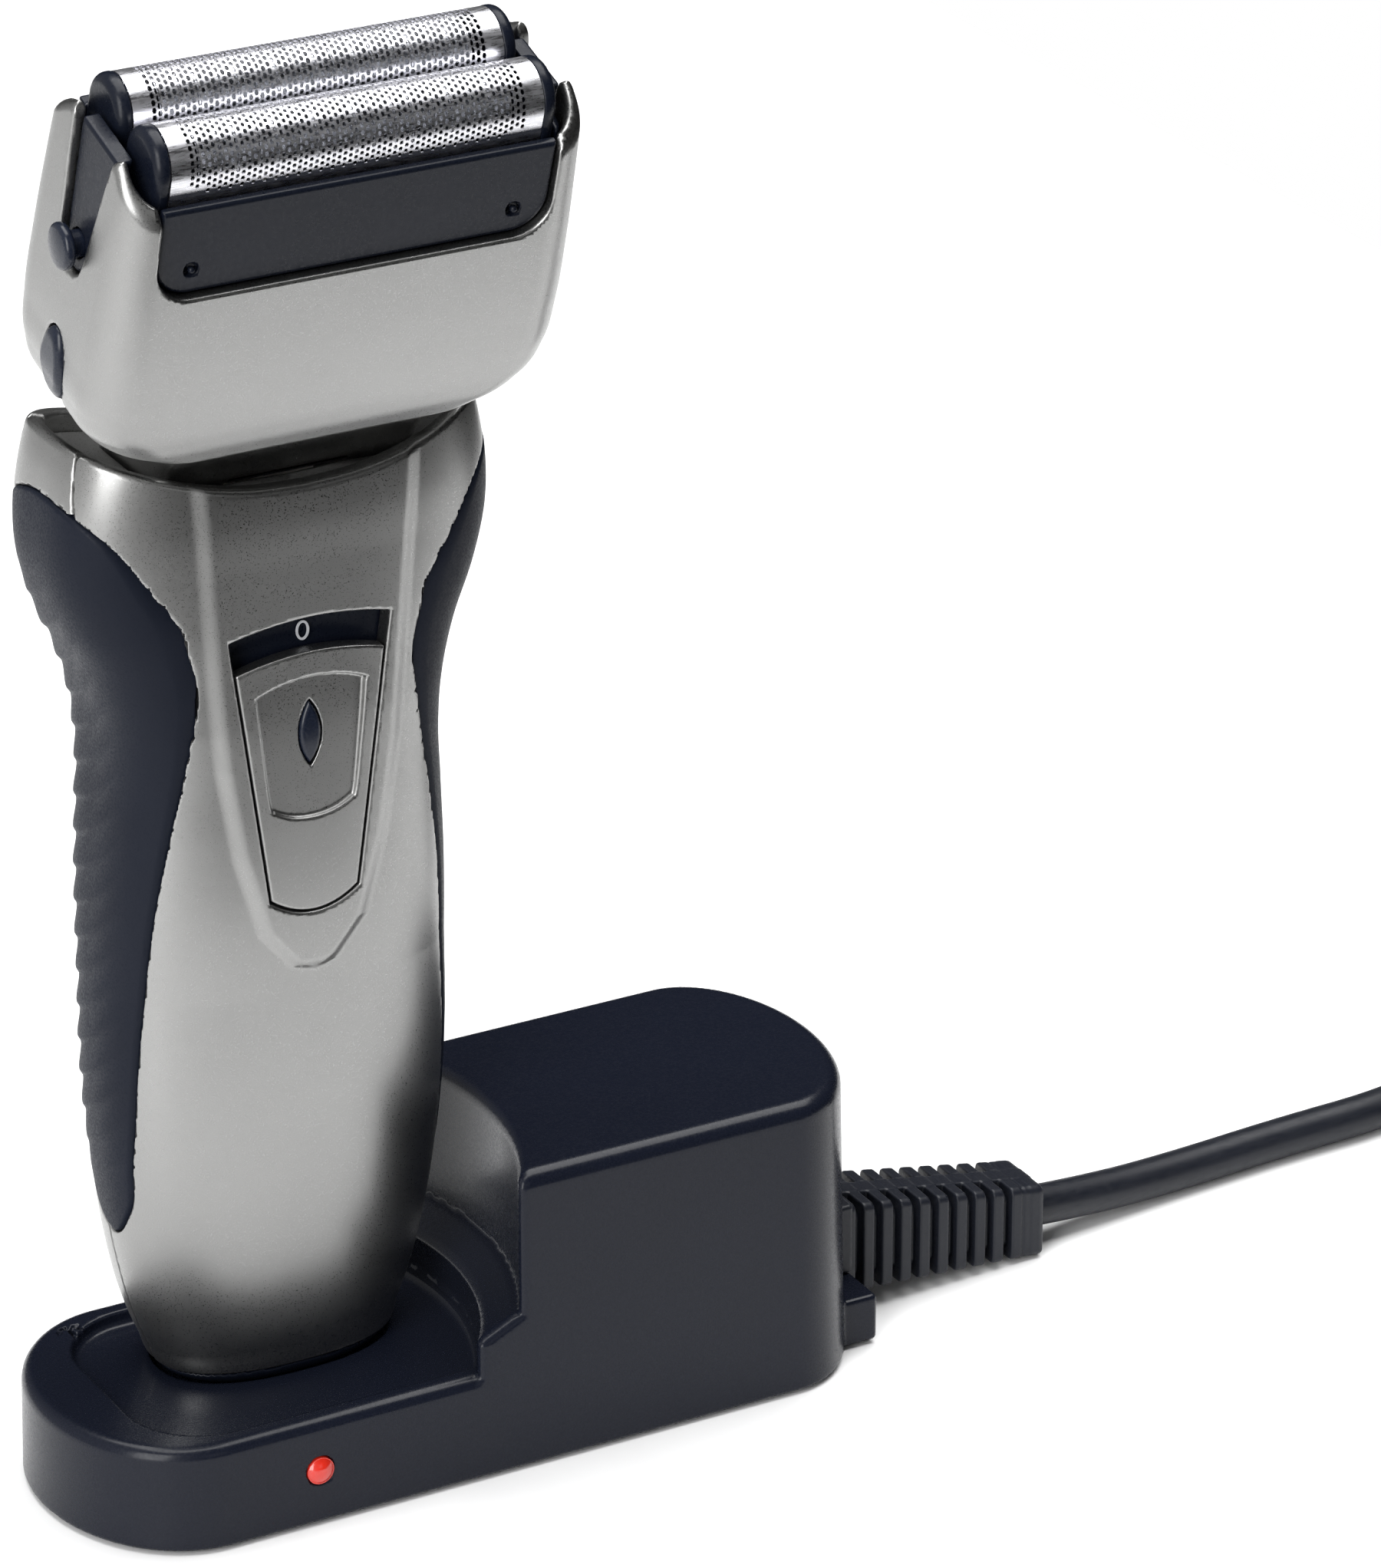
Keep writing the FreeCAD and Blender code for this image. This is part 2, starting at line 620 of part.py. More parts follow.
def head_block(x0, x1, depth0, depth1, height0, height1):
    """A block given in the head frame."""
    shape = block(x0, x1, depth0, depth1, height0, height1)
    shape.Placement = HEAD
    return shape


def make_neck():
    form = neck_form(0).common(handle_solid(-size("wall") - 1.2, 80).fuse(
        block(-80, 80, -60, 60, 118, 170)))
    form = form.common(block(-80, 80, -60, 60, 108, 170))
    shaft_room = head_block(-7.2, 7.2, -3.5, 9.5, -80, -30)
    return form.cut(shaft_room)


def make_neck_seal():
    """Rubber bellows plate on top of the neck, round the drive lug."""
    seal = head_block(-12, 12, -5.4, 5.4, -33, -31.9)
    return seal.cut(head_block(-6.4, 6.4, -3.3, 3.3, -40, -20))


# ---------------------------------------------------------------- handle inside


def make_chassis():
    """A tray that carries the cells, motor and board."""
    x = size("handle_x")
    tray = block(x - 15.8, x + 15.8, -2.9, 12.2, 17.5, 104)
    tray = tray.common(handle_solid(-size("wall") - 0.4, 15))
    tray = tray.cut(block(x - 14.6, x + 14.6, -0.4, 20, 19.5, 73.5))
    tray = tray.cut(block(x - 8.2, x + 8.2, -5.2, 20, 75.5, 102.5))
    tray = tray.cut(cylinder(3.2, 10, (x, size("motor_y"), 100)))
    return biggest(tray)


def make_cells():
    x = size("handle_x")
    cells = []
    for side in (-1, 1):
        spot = x + side * (size("cell_radius") + 1.0)
        can = cylinder(size("cell_radius"), size("cell_length"), (spot, size("cell_y"), size("cell_bottom")))
        can = can.makeFillet(0.8, [edge for edge in can.Edges if edge.BoundBox.ZLength < 0.01])
        nub = cylinder(2.0, 1.0, (spot, size("cell_y"), size("cell_bottom") + size("cell_length") - 0.1))
        cells.append(can.fuse(nub))
    return Part.makeCompound(cells)


def make_motor():
    x = size("handle_x")
    can = cylinder(size("motor_radius"), size("motor_length"), (x, size("motor_y"), size("motor_bottom")))
    can = can.makeFillet(0.7, [edge for edge in can.Edges if edge.BoundBox.ZLength < 0.01])
    boss = cylinder(2.6, 1.4, (x, size("motor_y"), size("motor_bottom") + size("motor_length") - 0.1))
    bore = cylinder(size("shaft_radius") + 0.05, 12,
                    (x, size("motor_y"), size("motor_bottom") + size("motor_length") - 8))
    return can.fuse(boss).cut(bore).removeSplitter()


def make_pickup_coil():
    outer = prism(smooth_wire(ellipse_points(9.6, 5.6, 12.6)), (0, 0, 3.2))
    inner = prism(smooth_wire(ellipse_points(5.5, 2.4, 12.6)), (0, 0, 3.2))
    return outer.cut(inner)


def make_switch_guide():
    """Dark tray behind the switch opening, with a marked stop at its top."""
    x = size("handle_x")
    back = size("plate_front") + size("plate_thickness") + size("plate_gap")
    floor = block(x - 11.2, x + 11.2, back, back + 1.2, size("slot_bottom") - 2.5,
                  size("slot_top") + 2.5)
    floor = floor.common(handle_solid(-size("wall") - 0.05, 15))
    window = block(x - 2.6, x + 2.6, back - 1, back + 3, size("lock_height") - 5,
                   size("lock_height") + 5 + size("switch_travel"))
    return biggest(floor.cut(window))


def plate_bounds():
    """Top and bottom of the switch plate when the shaver is off."""
    top = size("slot_top") - size("switch_travel") - size("plate_gap") - 0.1
    return top, size("slot_bottom") + size("plate_gap")


def make_switch_plate():
    top, bottom = plate_bounds()
    y = size("plate_front")
    x = size("handle_x")
    plate = prism(slot_wire(size("plate_gap"), top, bottom, y), (0, size("plate_thickness"), 0))
    recess_points = [(-6.0, 96.0), (0, 97.3), (6.0, 96.0), (5.3, 88), (4.9, 82.7), (0, 81.0),
                     (-4.9, 82.7), (-5.3, 88)]
    scoop = prism(smooth_wire([(x + px, y - 1, pz) for px, pz in recess_points]), (0, 1.55, 0))
    lock_hole = lock_oval(0.12, y - 2, 8)
    return plate.cut(scoop).cut(lock_hole)


def lock_oval(grow, y, depth):
    """An upright lens outline swept backwards from a depth."""
    x, z = size("handle_x"), size("lock_height")
    half, tall = size("lock_half_width") + grow, size("lock_half_length") + grow
    low, high = Vector(x, y, z - tall), Vector(x, y, z + tall)
    wire = Part.Wire([Part.Arc(low, Vector(x + half, y, z), high).toShape(),
                      Part.Arc(high, Vector(x - half, y, z), low).toShape()])
    return prism(wire, (0, depth, 0))


def make_lock_button():
    return lock_oval(0, size("plate_front") - 0.25, 2.2)


# ---------------------------------------------------------------- trimmer


def trimmer_room():
    """The recess in the rear panel for the folded trimmer."""
    x = size("handle_x")
    half = size("trimmer_half_width") + 0.45
    room = block(x - half, x + half, 13.4, 30, size("trimmer_pivot_z") - 4.2, 112.9)
    return room


def trimmer_stock():
    """The folded trimmer's outer form: the skin behind its recess, a little inside."""
    x = size("handle_x")
    half = size("trimmer_half_width")
    slab = block(x - half, x + half, 13.9, 30, size("trimmer_pivot_z") - 3.4, 112.4)
    return slab.common(handle_solid(-0.15, 60))


def pivot(radius, length, x_start):
    return cylinder(radius, length, (x_start, size("trimmer_pivot_y"), size("trimmer_pivot_z")), (1, 0, 0))


def make_trimmer_arm():
    arm = trimmer_stock().common(block(-80, 80, -60, 60, 60, 109.2))
    arm = arm.cut(block(-80, 80, 10, 30, size("trimmer_pivot_z") - 6, size("trimmer_pivot_z")).cut(
        pivot(1.9, 100, -60)))
    return biggest(arm.cut(pivot(0.78, 100, -60)))


def teeth(y0, y1, z0, z1, count, width, shift=0.0):
    """A comb of upright teeth."""
    x = size("handle_x")
    pitch = 2 * (size("trimmer_half_width") - 0.7) / (count - 1)
    first = x - size("trimmer_half_width") + 0.7 + shift
    return [block(first + pitch * number - width / 2, first + pitch * number + width / 2, y0, y1, z0, z1)
            for number in range(count)]


def make_trimmer_comb():
    x = size("handle_x")
    half = size("trimmer_half_width") - 0.4
    bar = block(x - half, x + half, 15.0, 15.8, 109.2, 110.4)
    return bar.fuse(teeth(15.0, 15.8, 110.2, 112.2, 15, 0.6)).removeSplitter()


def make_trimmer_cutter():
    x = size("handle_x")
    half = size("trimmer_half_width") - 1.6
    bar = block(x - half, x + half, 14.1, 14.7, 109.5, 110.6)
    return bar.fuse(teeth(14.1, 14.7, 110.4, 111.8, 15, 0.5)[2:-2]).removeSplitter()


# ---------------------------------------------------------------- head, in its own frame

# height, half width, front, back and corner radius of the foil frame's sections, square to its axis
FRAME_SECTIONS = [
    (-41.4, 12.0, -8.0, 8.6, 6.0), (-40.7, 17.4, -8.9, 9.7, 6.0), (-39.0, 22.4, -9.8, 10.8, 6.0),
    (-36.5, 25.5, -10.4, 11.6, 6.0), (-33.0, 26.8, -10.8, 12.0, 5.8), (-28, 27.0, -11.0, 12.2, 5.4),
    (-20, 26.8, -11.0, 12.0, 5.0), (-12, 26.4, -10.8, 11.7, 4.6), (-6, 26.0, -10.6, 11.4, 4.2),
    (-2.4, 25.7, -10.4, 11.2, 4.0),
]


def frame_form(shrink, bottom=-50.0, top=10.0):
    rows = [row for row in FRAME_SECTIONS if bottom <= row[0] <= top]
    wires = [capsule_wire(half - shrink, front + shrink, back - shrink, corner - shrink, height)
             for height, half, front, back, corner in rows]
    return Part.makeLoft(wires, True)


def notch_wire(grow):
    """Side-view outline of the notch between the frame's front and rear peaks."""
    bottom = -19.4 - grow
    half_top, half_low = 5.2 + grow, 2.7 + grow
    return Part.Wire([
        Part.makeLine(Vector(-40, -half_low, -16.8), Vector(-40, -half_top, 2)),
        Part.makeLine(Vector(-40, -half_top, 2), Vector(-40, half_top, 2)),
        Part.makeLine(Vector(-40, half_top, 2), Vector(-40, half_low, -16.8)),
        Part.Arc(Vector(-40, half_low, -16.8), Vector(-40, 0, bottom),
                 Vector(-40, -half_low, -16.8)).toShape(),
    ])


def window_block(grow, depth0, depth1):
    """The frame's front or rear window, with rounded lower corners."""
    low = -17.0 - grow
    half = 22.3 + grow
    room = block(-half, half, depth0, depth1, low, 6)
    edges = [edge for edge in room.Edges
             if edge.BoundBox.YLength > 1 and edge.BoundBox.ZMax < low + 0.1]
    return room.makeFillet(4.2, edges)


def make_foil_frame():
    shell = frame_form(0).cut(frame_form(size("frame_wall"), -40.0))
    neck_hole = Part.Face(capsule_wire(16.2, -7.3, 7.3, 4.5, -45)).extrude(Vector(0, 0, 10))
    shell = shell.cut(neck_hole)
    shell = shell.cut(window_block(0, -30, -6)).cut(window_block(0, 6, 30))
    shell = shell.cut(prism(notch_wire(0), (80, 0, 0)))
    peak_room = Part.Wire([
        Part.makeLine(Vector(-40, -14, -9.5), Vector(-40, -5.4, -2.2)),
        Part.makeLine(Vector(-40, -5.4, -2.2), Vector(-40, 5.4, -2.2)),
        Part.makeLine(Vector(-40, 5.4, -2.2), Vector(-40, 15, -9.5)),
        Part.makeLine(Vector(-40, 15, -9.5), Vector(-40, 15, 5)),
        Part.makeLine(Vector(-40, 15, 5), Vector(-40, -14, 5)),
        Part.makeLine(Vector(-40, -14, 5), Vector(-40, -14, -9.5))])
    shell = shell.cut(prism(peak_room, (80, 0, 0)))
    for side in (-1, 1):
        shell = shell.cut(release_oval(side, 0.15, 8))
    return biggest(shell)


def release_oval(side, grow, depth):
    """The oval of a frame release button, swept inwards from outside."""
    wire = Part.Wire(Part.Ellipse(Vector(0, 0, 0), 4.6 + grow, 2.35 + grow).toShape())
    face = Part.Face(wire)
    face.Placement = Placement(Vector(side * 29, 0.3, -31.6), Rotation(Vector(0, 1, 0), 90))
    return face.extrude(Vector(-side * depth, 0, 0))


def make_release_button(side):
    """Domed oval button with a flange inside the frame's wall."""
    dome = release_oval(side, 0, 6).common(
        frame_form(-0.55))
    return biggest(dome)


def side_cheek(side):
    """The part of the cassette that fills the frame's side notch, leaning with the frame's wall."""
    corners = [(23.0, -20.5), (26.3, -20.5), (24.9, -3.4), (23.0, -3.4)]
    wedge = prism(polygon_wire([(side * x, -9, z) for x, z in corners]), (0, 18, 0))
    return wedge.common(prism(notch_wire(-0.2), (80, 0, 0)))


def make_cassette():
    """Dark insert that fills the frame and holds both foils."""
    top, bottom = -6.1, -24.0
    core = prism(capsule_wire(24.05, -8.8, 9.5, 2.9, bottom), (0, 0, top - bottom))
    front_pad = window_block(-0.15, -10.0, -8.2).common(block(-40, 40, -20, 20, -30, top))
    rear_pad = window_block(-0.15, 8.6, 10.8).common(block(-40, 40, -20, 20, -30, top))
    cassette = core.fuse([front_pad, rear_pad])
    cassette = cassette.cut(block(-21.8, 21.8, -8.0, 8.0, -30, -11.4))
    cassette = cassette.fuse([side_cheek(-1), side_cheek(1)])
    for sign in (-1, 1):
        middle = sign * size("foil_offset")
        cassette = cassette.cut(block(-22.9, 22.9, middle - 4.3, middle + 4.3, -13.4, 0))
        cassette = cassette.cut(cylinder(1.55, 12, (sign * 20, 0, size("knob_height")), (sign, 0, 0)))
    return biggest(cassette.removeSplitter())


def make_release_knob(side):
    """Round foil release knob: a stem through the cassette and a crowned head."""
    stem = cylinder(1.45, 4.2, (side * 23.0, 0, size("knob_height")), (side, 0, 0))
    head = cylinder(size("knob_radius"), 1.4, (side * 27.1, 0, size("knob_height")), (side, 0, 0))
    rim = [edge for edge in head.Edges if abs(edge.CenterOfMass.x) > 28.4]
    head = head.makeFillet(0.6, rim)
    return stem.fuse(head).removeSplitter()


def arch_wire(radius, x, middle, depth):
    """The outline of an arch of given radius, closed below."""
    half, low = radius, -depth
    top = -size("foil_radius")
    return Part.Wire([
        Part.makeLine(Vector(x, middle - half, low), Vector(x, middle - half, top)),
        Part.Arc(Vector(x, middle - half, top), Vector(x, middle, top + radius),
                 Vector(x, middle + half, top)).toShape(),
        Part.makeLine(Vector(x, middle + half, top), Vector(x, middle + half, low)),
        Part.makeLine(Vector(x, middle + half, low), Vector(x, middle - half, low))])


def make_foil(sign):
    half = size("foil_half_length")
    middle = sign * size("foil_offset")
    outer = prism(arch_wire(size("foil_radius"), -half, middle, size("foil_depth")), (2 * half, 0, 0))
    inner = prism(arch_wire(size("foil_radius") - size("foil_thickness"), -half - 1, middle,
                            size("foil_depth") + 1), (2 * half + 2, 0, 0))
    return outer.cut(inner)


def make_foil_caps(sign):
    """The two dark end caps of a foil."""
    middle = sign * size("foil_offset")
    caps = []
    for side in (-1, 1):
        start = side * size("foil_half_length")
        cap = prism(arch_wire(size("foil_radius") + 0.2, start, middle, 10.2), (side * 1.7, 0, 0))
        rim = [edge for edge in cap.Edges
               if abs(edge.CenterOfMass.x) > size("foil_half_length") + 1.6
               and edge.CenterOfMass.z > -9.5]
        caps.append(cap.makeFillet(1.1, rim))
    return Part.makeCompound(caps)


def make_inner_blade(sign):
    """A row of thin half-round blades on a spine with a stem."""
    middle = sign * size("foil_offset")
    spine = block(-17.6, 17.6, middle - 1.2, middle + 1.2, -6.4, -4.6)
    stem = block(-2.2, 2.2, middle - 1.0, middle + 1.0, -19.4, -6.2)
    pieces = [stem]
    count = 17
    for number in range(count):
        x = -17.4 + 34.8 * number / (count - 1)
        leaf = prism(arch_wire(size("blade_radius"), x - 0.2, middle, 5.4), (0.4, 0, 0))
        pieces.append(leaf)
    return spine.fuse(pieces).removeSplitter()


def make_oscillator():
    """Drive plate with two sockets for the blade stems and a lug slotted for the motor's pin."""
    plate = block(-11.5, 11.5, -6.9, 6.9, -28.6, -26.6)
    posts = []
    for sign in (-1, 1):
        middle = sign * size("foil_offset")
        post = block(-4.0, 4.0, middle - 2.3, middle + 2.3, -26.8, -15.4)
        post = post.cut(block(-2.3, 2.3, middle - 1.1, middle + 1.1, -24, -10))
        posts.append(post)
    neck_bar = block(-3.6, 3.6, -2.6, 2.6, -46, -28.4)
    drive = plate.fuse(posts + [neck_bar])
    drive.Placement = HEAD
    x, y = size("handle_x"), size("motor_y")
    lug = block(x - 4.6, x + 4.6, y - 5.6, y + 2.6, 112.6, 124.5)
    lug = lug.cut(block(x - 3.3, x + 3.3, y - 4.1, y + 4.6, 110, 119.4))
    return drive.fuse(lug).removeSplitter()


# ---------------------------------------------------------------- build the document

feature_nodes = {
    "stand_shell": make_stand_shell(), "stand_bottom_cover": make_bottom_cover(),
    "stand_screws": make_stand_screws(), "stand_feet": make_stand_feet(),
    "charge_lamp": make_charge_lamp(), "charging_coil": make_charging_coil(),
    "strain_relief": make_strain_relief(),
    "mains_cord": tube(CORD_ROUTE, size("cord_radius")),
    "cord_coil": make_cord_coil(), "plug_lead": tube(LEAD_ROUTE, size("cord_radius")),
    "mains_plug": make_plug(), "plug_pins": make_plug_pins(),
    "collar": make_collar(), "neck": make_neck(), "neck_seal": make_neck_seal(),
    "inner_chassis": make_chassis(), "battery_cells": make_cells(),
    "motor_can": make_motor(), "pickup_coil": make_pickup_coil(),
    "switch_guide": make_switch_guide(), "switch_plate": make_switch_plate(),
    "switch_lock": make_lock_button(), "drive_oscillator": make_oscillator(),
    "trimmer_arm": make_trimmer_arm(), "trimmer_comb": make_trimmer_comb(),
    "trimmer_cutter": make_trimmer_cutter(),
}
feature_nodes.update(handle_shells())
head_nodes = {
    "foil_frame": make_foil_frame(), "foil_cassette": make_cassette(),
    "front_foil": make_foil(-1), "rear_foil": make_foil(1),
    "front_foil_caps": make_foil_caps(-1), "rear_foil_caps": make_foil_caps(1),
    "front_blade": make_inner_blade(-1), "rear_blade": make_inner_blade(1),
    "frame_button_left": make_release_button(-1), "frame_button_right": make_release_button(1),
    "foil_button_left": make_release_knob(-1), "foil_button_right": make_release_knob(1),
}
for label, shape in feature_nodes.items():
    node(feature(label, shape), label)
for label, shape in head_nodes.items():
    node(feature(label, shape, HEAD), label)

# motor shaft with its eccentric cam and drive pin
shaft = rod("Shaft", "Sizes.shaft_radius", "118.5 - Sizes.motor_bottom - Sizes.motor_length",
            "Sizes.handle_x", "Sizes.motor_y", "Sizes.motor_bottom + Sizes.motor_length - 7.5")
cam = rod("Cam", "3.2", "2.2", "Sizes.handle_x", "Sizes.motor_y", "109")
drive_pin = rod("DrivePin", "0.6", "Sizes.shaft_top - 111", "Sizes.handle_x",
                "Sizes.motor_y - Sizes.throw", "111")
node(fuse("MotorShaft", shaft, cam, drive_pin), "motor_shaft")

# circuit board of the handle with two chips and a round capacitor
board = box("Board", "17", "1.2", "28", "Sizes.handle_x - 8.5", "-4.2", "38")
chips = [box("ChipA", "6", "1", "6", "Sizes.handle_x - 3", "-5.1", "42"),
         box("ChipB", "4", "0.9", "4", "Sizes.handle_x + 3", "-5.0", "55")]
capacitor = rod("Capacitor", "1.8", "1", "Sizes.handle_x - 5", "-4.1", "60", (1, 0, 0), 90)
node(fuse("CircuitBoard", board, *chips, capacitor), "circuit_board")

node(rod("TrimmerPin", "0.75", "2 * (Sizes.trimmer_half_width + 1.6)",
         "Sizes.handle_x - Sizes.trimmer_half_width - 1.6", "Sizes.trimmer_pivot_y",
         "Sizes.trimmer_pivot_z", (0, 1, 0), 90), "trimmer_pin")

node(padded_body("StandBoard", rectangle, ("40", "22"), "1.2", "0 - 14", "0", "2.6"),
     "stand_circuit_board")
core = box("Core", "22", "20", "17", "Sizes.stand_length / 2 - 34", "-10", "9")
core_windows = [box("Window%d" % side, "5", "22", "9", "Sizes.stand_length / 2 - 34 + %s" % start,
                    "-11", "13") for side, start in enumerate(("3.2", "13.8"))]
node(cut("TransformerCore", core, *core_windows), "transformer_core")
winding = box("Winding", "14.8", "23", "8.4", "Sizes.stand_length / 2 - 30.4", "-11.5", "13.3")
limb = box("Limb", "5.8", "20.2", "20", "Sizes.stand_length / 2 - 25.9", "-10.1", "5")
node(cut("TransformerWinding", winding, limb), "transformer_winding")

doc.recompute()

# ---------------------------------------------------------------- check and write

for item in doc.Objects:
    if "Invalid" in item.State or "Error" in item.State:
        raise RuntimeError("failed object: " + item.Name)
for item in NODES:
    if item.Shape.isNull() or not item.Shape.isValid() or not item.Shape.Solids:
        raise RuntimeError("bad shape: " + item.Label)

os.makedirs("parts", exist_ok=True)
for item in NODES:
    item.Shape.exportStep("parts/%s.step" % item.Label)
    print("%-22s solids %d volume %.0f" % (item.Label, len(item.Shape.Solids), item.Shape.Volume))
print(len(NODES), "nodes")
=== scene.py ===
import json
import math

import bpy
import numpy as np
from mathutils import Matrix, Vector


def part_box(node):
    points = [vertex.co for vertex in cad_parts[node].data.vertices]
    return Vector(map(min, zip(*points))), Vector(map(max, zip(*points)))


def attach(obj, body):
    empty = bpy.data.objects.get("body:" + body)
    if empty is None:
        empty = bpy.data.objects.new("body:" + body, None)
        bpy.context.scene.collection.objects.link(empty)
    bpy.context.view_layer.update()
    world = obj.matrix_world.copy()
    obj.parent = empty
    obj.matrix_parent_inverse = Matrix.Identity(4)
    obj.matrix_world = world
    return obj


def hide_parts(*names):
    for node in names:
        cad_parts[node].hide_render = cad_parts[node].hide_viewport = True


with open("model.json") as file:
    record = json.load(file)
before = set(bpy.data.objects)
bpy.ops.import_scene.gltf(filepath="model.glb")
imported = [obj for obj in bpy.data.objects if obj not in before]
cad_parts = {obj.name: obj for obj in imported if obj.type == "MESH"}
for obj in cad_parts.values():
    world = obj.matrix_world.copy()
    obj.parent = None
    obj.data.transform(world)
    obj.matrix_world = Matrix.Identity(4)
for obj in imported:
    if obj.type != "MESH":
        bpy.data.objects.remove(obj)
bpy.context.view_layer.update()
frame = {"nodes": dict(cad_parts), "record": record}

# Lengths in the piece-making code are in millimetres; MM turns them into metres.
MM = 0.001
NODES = frame["nodes"]
COARSE = 1.0

# ---------------------------------------------------------------- camera

camera = bpy.data.objects.new("Camera", bpy.data.cameras.new("Camera"))
bpy.context.scene.collection.objects.link(camera)
bpy.context.scene.camera = camera
AZIMUTH, ELEVATION = math.radians(-29.05), math.radians(24.53)
LOOK = Vector((-math.sin(AZIMUTH) * math.cos(ELEVATION), math.cos(AZIMUTH) * math.cos(ELEVATION),
               -math.sin(ELEVATION)))
camera.location = (-0.33570, -0.66310, 0.41557)
camera.rotation_euler = LOOK.to_track_quat("-Z", "Y").to_euler()
camera.data.lens = 172.6
camera.data.sensor_width = 36
camera.data.sensor_fit = "AUTO"
camera.data.clip_start, camera.data.clip_end = 0.01, 20

# ---------------------------------------------------------------- materials


def new_material(name):
    made = bpy.data.materials.new(name)
    made.use_nodes = True
    tree = made.node_tree
    return made, tree, tree.nodes["Principled BSDF"]


def link(tree, source, target):
    tree.links.new(source, target)


def noise(tree, coords, scale, detail=3.0, stretch=(1, 1, 1)):
    """A noise texture in object space; scale is in features per metre."""
    mapping = tree.nodes.new("ShaderNodeMapping")
    mapping.inputs["Scale"].default_value = stretch
    link(tree, coords, mapping.inputs["Vector"])
    item = tree.nodes.new("ShaderNodeTexNoise")
    item.inputs["Scale"].default_value = scale
    item.inputs["Detail"].default_value = detail
    link(tree, mapping.outputs["Vector"], item.inputs["Vector"])
    return item.outputs["Fac"]


def spread(tree, value, low, high):
    """Maps the middle of a noise to a range of values."""
    item = tree.nodes.new("ShaderNodeMapRange")
    item.inputs["From Min"].default_value = 0.3
    item.inputs["From Max"].default_value = 0.7
    item.inputs["To Min"].default_value = low
    item.inputs["To Max"].default_value = high
    link(tree, value, item.inputs["Value"])
    return item.outputs["Result"]


def surface(name, colour, roughness, metallic=0.0, coat=0.0, shift=0.12, mottle=90.0, grain=2600.0,
            bump=0.05, stretch=(1, 1, 1), specular=0.5, coat_rough=0.08, worn=0.25, depth=0.00004):
    """A moulded, painted or machined finish: mottled colour, uneven gloss and a fine grain."""
    made, tree, shader = new_material(name)
    coords = tree.nodes.new("ShaderNodeTexCoord").outputs["Object"]
    broad = noise(tree, coords, mottle, 4.0)
    mix = tree.nodes.new("ShaderNodeMix")
    mix.data_type = "RGBA"
    mix.inputs["A"].default_value = (*[c * (1 - shift) for c in colour], 1)
    mix.inputs["B"].default_value = (*[min(1, c * (1 + shift)) for c in colour], 1)
    link(tree, broad, mix.inputs["Factor"])
    link(tree, mix.outputs["Result"], shader.inputs["Base Color"])
    fine = noise(tree, coords, grain, 2.0, stretch)
    link(tree, spread(tree, fine, roughness * (1 - worn), roughness * (1 + worn)),
         shader.inputs["Roughness"])
    shader.inputs["Metallic"].default_value = metallic
    shader.inputs["Coat Weight"].default_value = coat
    shader.inputs["Coat Roughness"].default_value = coat_rough
    shader.inputs["Specular IOR Level"].default_value = specular
    relief = tree.nodes.new("ShaderNodeBump")
    relief.inputs["Strength"].default_value = bump
    relief.inputs["Distance"].default_value = depth
    link(tree, fine, relief.inputs["Height"])
    link(tree, relief.outputs["Normal"], shader.inputs["Normal"])
    return made


